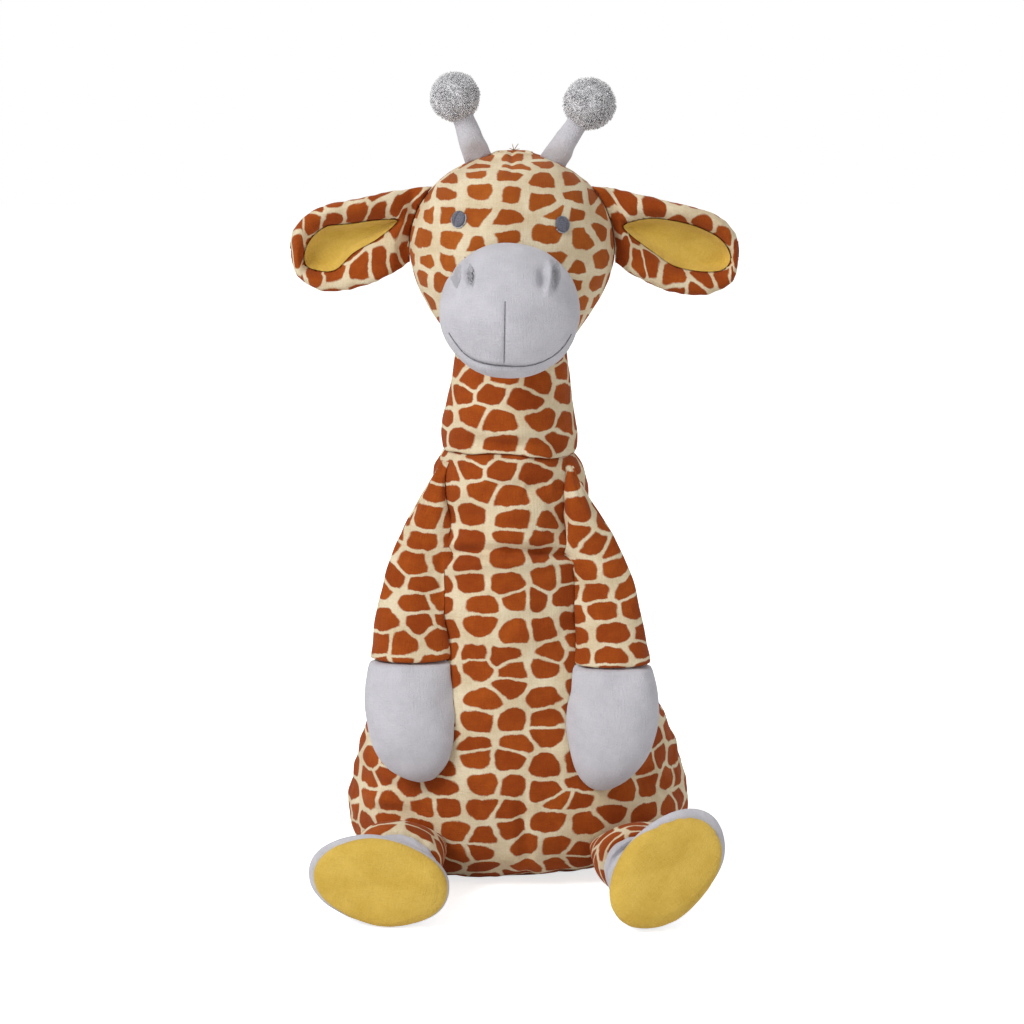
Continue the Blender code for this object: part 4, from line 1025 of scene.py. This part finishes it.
def roll_rims(grid, outline):
    """Rolls the cloth round the lining forwards into a thick rim, with a sunk middle."""
    flat, facing = grid.reshape(-1, 3), -normals(grid).reshape(-1, 3)[:, 1]
    half = grid.shape[1] // 2
    edge = np.concatenate([grid[:, 0], grid[::-1, half]])[:, [0, 2]]
    from_lining = outline_distance(flat[:, [0, 2]], closed_curve(outline, 60))
    from_edge, _ = distance_to_path(flat[:, [0, 2]], edge)
    roll = 2 * np.sqrt(np.clip(from_lining, 0, 1) * from_edge) / (np.abs(from_lining) + from_edge + 1e-6)
    from_root = np.abs(flat[:, 0] - grid[0, :, 0].mean())
    height = RIM_HEIGHT * roll * np.clip(from_root / RIM_START, 0, 1)
    height -= RIM_SINK * np.clip(-from_lining / RIM_EDGE, 0, 1)
    rolled = flat.copy()
    rolled[:, 1] += np.where(facing > 0, -height * facing, -0.3 * height * facing)
    return rolled.reshape(grid.shape)


def make_ear(side, head_tree):
    """A printed ear and the yellow lining in its cup."""
    word = SIDES[side]
    grid = form(ear_rings(side), -Y_AXIS, step=EAR_STEP)
    grid = finer(finer(round_ends(grid, None, 0.0030, lean=0.7)))
    grid, _ = trim_root(grid, head_tree)
    grid = side_seams(roll_rims(lumps(grid, "ear", side), LININGS[side]), "ear", side)
    grid = press_out(grid, head_tree)
    seams = (0, grid.shape[1] // 2)
    ear = cloth_piece(word + "_ear_cloth", grid, seams, start=0.4 + 0.1 * side, shift=0.006)
    dress(ear, PRINT, word + "_ear", [word + "_ear"], levels=0)
    lining = pad_on(word + "_ear_lining_cloth", tree_of(grid), LININGS[side], LINING_THICK)
    dress(lining, YELLOW, word + "_ear", [word + "_ear_lining"])


# Horns
def head_top(x):
    """The height of the head's crown at a distance from the middle."""
    crown = HEAD_CURVE[int(np.argmax(HEAD_CURVE[:, 1])):][::-1]
    return HEAD_BOTTOM + HEAD_HEIGHT * float(np.interp(abs(x) / HEAD_HALF_WIDTH, crown[:, 1], crown[:, 0]))


def horn_root(side):
    """The middle of a horn's seam on the crown."""
    return Vector((side * HORN_SPREAD[side], -HEAD_FORWARD * HEAD_SHARES[-2][3], head_top(HORN_SPREAD[side])))


def horn_line(side):
    """The direction of a horn."""
    return Vector((side * math.sin(HORN_LEAN[side]), 0, math.cos(HORN_LEAN[side])))


def strand(points, radii, sides=5):
    """The vertices and faces of one closed tapered strand."""
    points = [Vector(p) for p in points]
    verts, faces = [], []
    for i, point in enumerate(points):
        along = (points[min(i + 1, len(points) - 1)] - points[max(i - 1, 0)]).normalized()
        u = along.orthogonal().normalized()
        v = along.cross(u)
        for k in range(sides):
            angle = math.tau * k / sides
            verts.append(point + (u * math.cos(angle) + v * math.sin(angle)) * radii[i])
    for i in range(len(points) - 1):
        for k in range(sides):
            j = (k + 1) % sides
            faces.append((i * sides + k, i * sides + j, (i + 1) * sides + j, (i + 1) * sides + k))
    faces.append(tuple(reversed(range(sides))))
    faces.append(tuple((len(points) - 1) * sides + k for k in range(sides)))
    return verts, faces


def strands_piece(name, strands):
    """One mesh object of many strands."""
    verts, faces = [], []
    for points, radii, sides in strands:
        more, rings = strand(points, radii, sides)
        faces += [tuple(i + len(verts) for i in face) for face in rings]
        verts += more
    mesh = bpy.data.meshes.new(name)
    mesh.from_pydata([tuple(v) for v in verts], [], faces)
    return smooth_object(name, mesh)


def curls(middle, radius, count, seed, stretch=Vector((1, 1, 1))):
    """Curly tufts all over a ball."""
    rng = random.Random(seed)
    made = []
    for i in range(count):
        height = 1 - 2 * (i + 0.5) / count
        angle = i * math.pi * (3 - math.sqrt(5))
        level = math.sqrt(1 - height * height)
        out = Vector((math.cos(angle) * level, math.sin(angle) * level, height))
        out = (out + Vector([rng.uniform(-CURL_LEAN, CURL_LEAN) for _ in range(3)])).normalized()
        side = out.orthogonal().normalized()
        side.rotate(Matrix.Rotation(rng.uniform(0, math.tau), 3, out))
        other = out.cross(side)
        clump = 0.5 + 0.5 * noise.noise(out * 2.6 + Vector((seed, 0, 0)))
        length = radius * (CURL_LENGTH + CURL_CLUMP * clump + rng.uniform(-CURL_UNEVEN, CURL_UNEVEN))
        curl = radius * rng.uniform(*CURL_WIDTH)
        turns = rng.uniform(*CURL_TURNS)
        points = []
        for k in range(4):
            t = k / 3
            turn = t * turns * math.tau
            offset = side * math.cos(turn) * curl * t + other * math.sin(turn) * curl * t
            point = out * (radius * CURL_START + length * t) + offset
            points.append(middle + Vector([p * s for p, s in zip(point, stretch)]))
        thick = radius * rng.uniform(*CURL_THICKNESS)
        made.append((points, [thick * (1 - 0.5 * (k / 3) ** 2) for k in range(4)], 3))
    return made


def make_horn(side, head_tree):
    """A grey horn with a pompom."""
    word = SIDES[side]
    root, along = horn_root(side), horn_line(side)
    rings = []
    for length, width, thick in HORN_SHARES:
        through = HORN_ROOT_HALF_THICK + (HORN_TIP_RADIUS - HORN_ROOT_HALF_THICK) * thick
        rings.append((*(root + along * HORN_LENGTH[side] * length), HORN_ROOT_HALF_WIDTH * width, through))
    grid, _ = trim_root(finer(form(rings, Y_AXIS, step=HORN_STEP)), head_tree)
    grid = seam_along(lumps(grid, "horn", side), 0, *HORN_SEAM)
    horn = cloth_piece(word + "_horn_cloth", press_out(grid, head_tree))
    dress(horn, GREY, word + "_horn", [word + "_horn"])
    radius = POMPOM_RADIUS[side]
    middle = root + along * (HORN_LENGTH[side] + radius - POMPOM_SEAT)
    core = (middle, radius * POMPOM_CORE_SHARE, side)
    make_yarn(word + "_pompom", curls(middle, radius, POMPOM_CURLS, 11 + side), core, word + "_horn")


def make_ball(name, middle, radius, seed):
    """A lumpy ball."""
    bm = bmesh.new()
    bmesh.ops.create_icosphere(bm, subdivisions=4, radius=radius)
    for vert in bm.verts:
        lump = noise.noise(vert.co / (radius * 0.50) + Vector((seed, 0, 0)))
        lump += 0.5 * noise.noise(vert.co / (radius * 0.20) + Vector((seed, 4, 0)))
        vert.co = vert.co * (1 + BALL_LUMP * lump) + middle
    mesh = bpy.data.meshes.new(name)
    bm.to_mesh(mesh)
    bm.free()
    return smooth_object(name, mesh)


def make_yarn(node, strands, core, body):
    """A node of yarn: its curls, and the lumpy ball inside them."""
    yarn = strands_piece(node + "_yarn", strands)
    ball = make_ball(node + "_core", *core)
    ball.parent = yarn
    dress(yarn, POMPOM, body, [node], levels=0)
    ball.data.materials.append(POMPOM)


# Arms
def arm_rings(side):
    """The rings of an arm and its paw."""
    rings = []
    for down, spread, width, thick in ARM_SHARES[side]:
        z, x = SHOULDER_HEIGHT - ARM_LENGTH * down, side * ARM_SPREAD * spread
        through = ARM_HALF_THICK * thick
        rings.append((x, body_front(x, z) - through * ARM_PRESS_SHARE, z, ARM_HALF_WIDTH * width, through))
    return rings


def level_row(grid, row, axis, value):
    """Slides the rows of a grid along it, so that one row lies in a plane, or nearly where the form turns."""
    rows, places = np.arange(len(grid)), []
    for c in range(grid.shape[1]):
        line = grid[:, c, axis] - value
        crossings = np.nonzero(line[:-1] * line[1:] <= 0)[0]
        i = crossings[np.argmin(np.abs(crossings - row))] if len(crossings) else row
        places.append(i + np.clip(line[i] / (line[i] - line[i + 1] or 1), 0, 1))
    places = np.array(places)
    for _ in range(12):
        places = (np.roll(places, 1) + 2 * places + np.roll(places, -1)) / 4
    level = grid.copy()
    for c, place in enumerate(places):
        at = np.interp(rows, [0, row, rows[-1]], [0, place, rows[-1]])
        for k in range(3):
            level[:, c, k] = np.interp(at, rows, grid[:, c, k])
    return level


def part_at(grid, row, gap=SKIN_GAP):
    """Two grids of one form, parted at a seam, with drawn-in edges."""
    first, second = grid[:row + 1].copy(), grid[row:].copy()
    along = grid[row + 1].mean(axis=0) - grid[row].mean(axis=0)
    along /= np.linalg.norm(along)
    first[-1] -= along * gap / 2
    second[0] += along * gap / 2
    return first, second


def make_arm(side, body_tree):
    """A printed arm and its grey paw."""
    word = SIDES[side]
    grid = form(arm_rings(side), Y_AXIS)
    grid = round_ends(grid, 0.0010, 0.0024, rows=4, lean=0.78)
    held = np.zeros(grid.shape[:2], bool)
    held[:, [0, grid.shape[1] // 2]] = True
    held[:4] = True
    seam_height = SHOULDER_HEIGHT - ARM_LENGTH * PAW_SEAM_SHARE[side]
    row = int(np.argmin(np.abs(grid.mean(axis=1)[:, 2] - seam_height)))
    held[row] = True
    grid = finer(stuff(grid, held, "arm"))
    row, seams = row * 2, (0, grid.shape[1] // 2)
    grid = lumps(level_row(grid, row, 2, seam_height), "arm", side)
    grid = seam_across(side_seams(grid, "arm", side), row, "paw", side)
    arm, paw = part_at(relax(press_out(grid, body_tree), body_tree), row)
    arm = cloth_piece(word + "_arm_cloth", arm, seams, start=0.6 + 0.1 * side, shift=0.004)
    dress(arm, PRINT, word + "_arm", [word + "_arm"])
    paw = cloth_piece(word + "_paw_cloth", paw, seams, start=0.6)
    dress(paw, GREY, word + "_arm", [word + "_paw"])


# Legs
def sole_row(foot):
    """The row of a foot where its sole is sewn on, a little in front of its widest row."""
    radius = np.linalg.norm(foot - foot.mean(axis=1, keepdims=True), axis=2).mean(axis=1)
    widest = int(np.argmax(radius))
    return widest + int(np.argmax(radius[widest:] < SOLE_REACH * radius[widest]))


def sole_grid(foot):
    """The sole's pad: the foot's face, lifted, and closed behind."""
    face = finer(foot[sole_row(foot):])
    out, run = normals(face), np.linalg.norm(face - face[:1], axis=2).mean(axis=1)
    lift = np.sqrt(np.clip(1 - (1 - np.clip(run / SOLE_EDGE, 0, 1)) ** 2, 0, 1))[:, None, None]
    return np.concatenate([(face + out * SKIN_GAP)[::-1], face + out * (SKIN_GAP + SOLE_THICK * lift)])


def make_leg(side, body_tree):
    """A printed leg, its grey foot and the yellow sole."""
    word = SIDES[side]
    hip = Vector((side * HIP_SPREAD[side], body_front(side * HIP_SPREAD[side], HIP_HEIGHT), HIP_HEIGHT))
    sole = Vector((side * SOLE_SPREAD[side], hip.y - LEG_REACH - FOOT_LENGTH, SOLE_HEIGHT[side]))
    ankle = Vector((hip.x + (sole.x - hip.x) * ANKLE_SHARE, hip.y - LEG_REACH, LEG_HALF_HEIGHT))
    rings = []
    for length, width, height in LEG_SHARES:
        half_height = LEG_ROOT_HALF_HEIGHT + (LEG_HALF_HEIGHT - LEG_ROOT_HALF_HEIGHT) * height
        rings.append((*hip.lerp(ankle, length), LEG_HALF_WIDTH * width, half_height))
    for length, width, height in FOOT_SHARES:
        rings.append((*ankle.lerp(sole, length), FOOT_HALF_LENGTH[side] * width, FOOT_HALF_HEIGHT * height,
                      0.0, SOLE_TURN[side]))
    grid = round_ends(form(rings, Z_AXIS), None, 0.0020, rows=5)
    row = int(np.argmin(np.abs(grid.mean(axis=1)[:, 1] - ankle.y)))
    row *= 2
    grid = level_row(finer(grid), row, 1, ankle.y)
    leg, caps = trim_root(grid[:row + 1], body_tree)
    grid, row = np.concatenate([leg, grid[row + 1:]]), len(leg) - 1
    seam = (grid.shape[1] * 3 // 4,)
    grid = seam_across(lumps(grid, "leg", side), row, "ankle", side)
    grid = seam_across(grid, caps, "hip", side)
    leg, foot = part_at(at_rest(press_out(grid, body_tree)), row)
    foot = at_rest(seam_across(foot, sole_row(foot), "sole", side))
    made = cloth_piece(word + "_leg_cloth", leg, seam, start=0.8 + 0.1 * side)
    dress(made, PRINT, word + "_leg", [word + "_leg"])
    made = cloth_piece(word + "_foot_cloth", foot, seam)
    dress(made, GREY, word + "_leg", [word + "_foot"])
    sole = cloth_piece(word + "_sole_cloth", at_rest(sole_grid(foot)), seams=())
    dress(sole, YELLOW, word + "_leg", [word + "_sole"])


# Tail
def tail_point(down):
    """A point down the tail, which lies on the body's back."""
    z = TAIL_ROOT_HEIGHT - down
    return Vector((body_shift(z), -body_front(body_shift(z), z), z))


def make_tail(body_tree):
    """The tail and its tuft."""
    rings = []
    for length, width, thick in TAIL_SHARES:
        through = TAIL_ROOT_HALF_THICK + (TAIL_RADIUS - TAIL_ROOT_HALF_THICK) * thick
        middle = tail_point(TAIL_LENGTH * length) + Y_AXIS * (through * thick + SKIN_GAP)
        rings.append((*middle, TAIL_RADIUS * width, through))
    grid = round_ends(finer(form(rings, Y_AXIS, step=TAIL_STEP)), 0.0005, 0.002)
    tail = cloth_piece("tail_cloth", press_out(lumps(grid, "tail"), body_tree), start=1.3)
    dress(tail, PRINT, "tail", ["tail"])
    start = TAIL_LENGTH * TUFT_START_SHARE
    middle = tail_point(start + TUFT_LENGTH / 2) + Y_AXIS * (TUFT_RADIUS + SKIN_GAP)
    stretch = Vector((TUFT_NARROW, TUFT_NARROW, TUFT_LENGTH / 2 / TUFT_RADIUS))
    core = (middle, TUFT_RADIUS * TUFT_CORE_SHARE, 9)
    make_yarn("tail_tuft", curls(middle, TUFT_RADIUS, TUFT_CURLS, 31, stretch), core, "tail")


# Face
EYE_PLACE = {1: (0.0241, 0.3295), -1: (-0.0256, 0.3319)}
EYE_HALF = (0.0031, 0.0038)
EYE_RIM = 1.08
EYE_STITCHES = 22
NOSTRIL_STITCHES = 44
EYE_LEAN = {1: math.radians(-26), -1: math.radians(22)}
NOSTRILS = {  # ridge, hollow, the hollow's depth, and the leaves of thread, darker than the plush to paint the creases' shade (a second leaf is painted shade alone): x, z, half width, half height
    -1: (((-0.0230, 0.3150), (-0.0222, 0.3100), (-0.0208, 0.3040)),
         ((-0.0285, 0.3150), (-0.0270, 0.3095), (-0.0250, 0.3045)), 0.0014,
         ((-0.0192, 0.3102, 0.0019, 0.0050), (-0.0270, 0.3112, 0.0031, 0.0072))),
    1: (((0.0176, 0.3160), (0.0172, 0.3090), (0.0164, 0.3015)),
        ((0.0148, 0.3140), (0.0146, 0.3090), (0.0146, 0.3040)), 0.0030, ((0.0206, 0.3095, 0.0021, 0.0062),)),
}
NOSTRIL_LEAN = math.radians(8)


def make_eye(side, head_tree):
    """An eye of satin stitches over a raised pad."""
    word = SIDES[side]
    x0, z0 = EYE_PLACE[side]
    turn = Matrix.Rotation(EYE_LEAN[side], 3, "Y")
    strands = []
    for i in range(EYE_STITCHES):
        up = -1 + 2 * (i + 0.5) / EYE_STITCHES
        half = math.sqrt(1 - up * up) * EYE_HALF[0]
        points = []
        for k in range(9):
            t = -1 + k / 4
            flat = turn @ Vector((half * t, 0, EYE_HALF[1] * up))
            lift = 0.0003 + 0.0011 * math.sqrt(max(0.0, 1 - 0.8 * t * t)) * math.sqrt(1 - 0.6 * up * up)
            points.append(on_front(head_tree, x0 + flat.x, z0 + flat.z, lift))
        strands.append((points, [0.00030] * 9, 6))
    eye = strands_piece(word + "_eye_thread", strands)
    dress(eye, SLATE, "head", [word + "_eye"], levels=0)
    ring = []
    for k in range(25):
        angle = math.pi * (-0.95 + 1.25 * k / 24)
        flat = turn @ Vector((EYE_HALF[0] * EYE_RIM * math.cos(angle), 0, EYE_HALF[1] * EYE_RIM * math.sin(angle)))
        ring.append(on_front(head_tree, x0 + flat.x, z0 + flat.z, 0.0004))
    rim = strands_piece(word + "_eye_rim_thread", [(ring, [0.00036] * 25, 6)])
    dress(rim, PALE_THREAD, "head", levels=0)


def make_nostril(side, muzzle_tree):
    """A nostril: leaves of grey stitches that draw the plush into folds, darker than the plush to paint the folds'
    shade; a second leaf is painted shade alone.
    """
    word = SIDES[side]
    turn = Matrix.Rotation(side * NOSTRIL_LEAN, 3, "Y")
    for index, (x0, z0, half_width, half_height) in enumerate(NOSTRILS[side][3]):
        strands = []
        for i in range(NOSTRIL_STITCHES):
            up = -1 + 2 * (i + 0.5) / NOSTRIL_STITCHES
            half = (1 - abs(up) ** 1.8) * half_width + 0.0001
            flat = [turn @ Vector((half * (-1 + k / 3), 0, half_height * up)) for k in range(7)]
            points = [on_front(muzzle_tree, x0 + p.x, z0 + p.z, 0.00006) for p in flat]
            strands.append((points, [0.00018] * 7, 6))
        leaf = strands_piece(f"{word}_nostril_thread_{index + 1}", strands)
        # the first leaf is the nostril's stitches, darker to paint the crease's shade; the second is painted shade
        # alone
        nodes = () if index else [word + "_nostril"]
        dress(leaf, NOSTRIL_PAINTED_SHADE_THREAD if index else PALE_THREAD, "head", nodes, levels=0)


MOUTH_LINE = ((-0.0298, 0.2829), (-0.0222, 0.2730), (-0.0127, 0.2687), (-0.0019, 0.2676), (0.0085, 0.2678),
              (0.0179, 0.2711), (0.0241, 0.2762), (0.0280, 0.2822))
CHIN_LINE = ((-0.0262, 0.2742), (-0.0190, 0.2680), (-0.0100, 0.2645), (0.0020, 0.2634), (0.0120, 0.2650),
             (0.0210, 0.2690), (0.0262, 0.2742))
LIP_LINE = ((-0.0033, 0.2992), (-0.0035, 0.2840), (-0.0038, 0.2690))
MUZZLE_FOLDS = (  # depth, width, ridge, fade, line and number of points
    (-0.0012, 0.0026, 0.0, 0.5, CHIN_LINE, 30), (0.0011, 0.0012, 0.0005, 0.4, MOUTH_LINE, 30),
    (0.0004, 0.0010, 0.0, 0.4, LIP_LINE, 12),
)


def line_on(tree, places, lift, count):
    """A smooth line of points on a form's front."""
    line = curve_through([(x, z) for x, z in places], np.linspace(0, len(places) - 1, count))
    return [on_front(tree, x, z, lift) for x, z in line]


def make_mouth(muzzle_tree):
    """The stitched mouth and the line from the nose to it."""
    strands = []
    for places, radius, count in ((MOUTH_LINE, 0.00030, 60), (LIP_LINE, 0.00026, 40)):
        points = line_on(muzzle_tree, places, 0.0001, count)
        strands.append((points, [radius] * count, 8))
    mouth = strands_piece("mouth_thread", strands)
    dress(mouth, GREY_THREAD, "head", levels=0)


CROWN_ENDS = ((-0.9, 0.0028), (-0.2, 0.0040), (0.5, 0.0046), (1.1, 0.0032))  # lean and length


def make_crown_thread(head_tree):
    """The loose thread ends of the seam in the crown."""
    root, strands = on_front(head_tree, 0.0008, 0.3632), []
    for lean, length in CROWN_ENDS:
        way = Vector((math.sin(lean), -0.25, math.cos(lean)))
        strands.append(([root + way * length * t + Vector((0, 0, -0.0006 * t * t)) for t in (0, 0.35, 0.7, 1)],
                        [0.00022, 0.0002, 0.00018, 0.00014], 6))
    made = strands_piece("crown_thread", strands)
    dress(made, CROWN_THREAD, "head", levels=0)


# Light, floor and camera
LOOK_AT = Vector((0, 0, 0.18))
CAMERA_PLACE = (0, -1.6742, 0.4752)
CAMERA_LENS = 118.3
WORLD_LEVEL = 0.42
FLOOR_GLOW = 0.72
LAMPS = (
    ("key_lamp", (-1.5, -1.3, 1.7), 0.9, 36.0),
    ("fill_lamp", (1.5, -1.6, 1.0), 1.4, 5.0),
    ("rim_lamp", (0.2, 1.6, 1.8), 1.2, 10.0),
)


def make_stage():
    """A pale floor, a white surrounding, soft lamps and the photograph's camera."""
    scene = bpy.context.scene
    scene.view_settings.view_transform = "Standard"
    bpy.ops.mesh.primitive_plane_add(size=8)
    floor = bpy.context.object
    floor.name = "floor"
    material = bpy.data.materials.new("pale_floor")
    material.use_nodes = True
    tree = material.node_tree
    shader = tree.nodes["Principled BSDF"]
    shader.inputs["Base Color"].default_value = (0.9, 0.9, 0.9, 1)
    shader.inputs["Roughness"].default_value = 0.9
    shader.inputs["Specular IOR Level"].default_value = 0.1
    glow = add(tree, "ShaderNodeEmission", {"Color": (1, 1, 1, 1), "Strength": FLOOR_GLOW})
    none = add(tree, "ShaderNodeEmission", {"Color": (0, 0, 0, 1), "Strength": 0.0})
    seen = add(tree, "ShaderNodeLightPath").outputs["Is Camera Ray"]
    lit = add(tree, "ShaderNodeMixShader", {0: seen, 1: none.outputs[0], 2: glow.outputs[0]})
    total = add(tree, "ShaderNodeAddShader", {0: shader.outputs[0], 1: lit.outputs[0]})
    tree.links.new(total.outputs[0], tree.nodes["Material Output"].inputs["Surface"])
    floor.data.materials.append(material)
    world = bpy.data.worlds.new("white_room")
    scene.world = world
    world.use_nodes = True
    tree = world.node_tree
    path = add(tree, "ShaderNodeLightPath")
    shown = calc(tree, "MAXIMUM", path.outputs["Is Camera Ray"],
                 calc(tree, "MAXIMUM", path.outputs["Is Glossy Ray"], path.outputs["Is Transmission Ray"]))
    strength = calc(tree, "ADD", WORLD_LEVEL, calc(tree, "MULTIPLY", shown, 1.0 - WORLD_LEVEL))
    tree.links.new(strength, tree.nodes["Background"].inputs["Strength"])
    tree.nodes["Background"].inputs["Color"].default_value = (1, 1, 1, 1)
    for name, place, size, power in LAMPS:
        light = bpy.data.lights.new(name, "AREA")
        light.size = size
        light.energy = power
        lamp = bpy.data.objects.new(name, light)
        lamp.location = place
        lamp.rotation_euler = (LOOK_AT - Vector(place)).to_track_quat("-Z", "Y").to_euler()
        scene.collection.objects.link(lamp)
    camera = bpy.data.objects.new("camera", bpy.data.cameras.new("camera"))
    camera.location = CAMERA_PLACE
    camera.rotation_euler = (LOOK_AT - Vector(CAMERA_PLACE)).to_track_quat("-Z", "Y").to_euler()
    camera.data.lens = CAMERA_LENS
    scene.collection.objects.link(camera)
    scene.camera = camera


body_grid = make_body()
make_pellet_bag()
body_tree = tree_of(body_grid)
head_grid = make_head()
head_tree = tree_of(head_grid)
make_neck(body_tree)
muzzle_grid = make_muzzle(head_tree)
muzzle_tree = tree_of(muzzle_grid)
for one_side in SIDES:
    make_ear(one_side, head_tree)
    make_horn(one_side, head_tree)
    make_eye(one_side, head_tree)
    make_nostril(one_side, muzzle_tree)
    make_arm(one_side, body_tree)
    make_leg(one_side, body_tree)
make_mouth(muzzle_tree)
make_crown_thread(head_tree)
make_tail(body_tree)
make_stage()
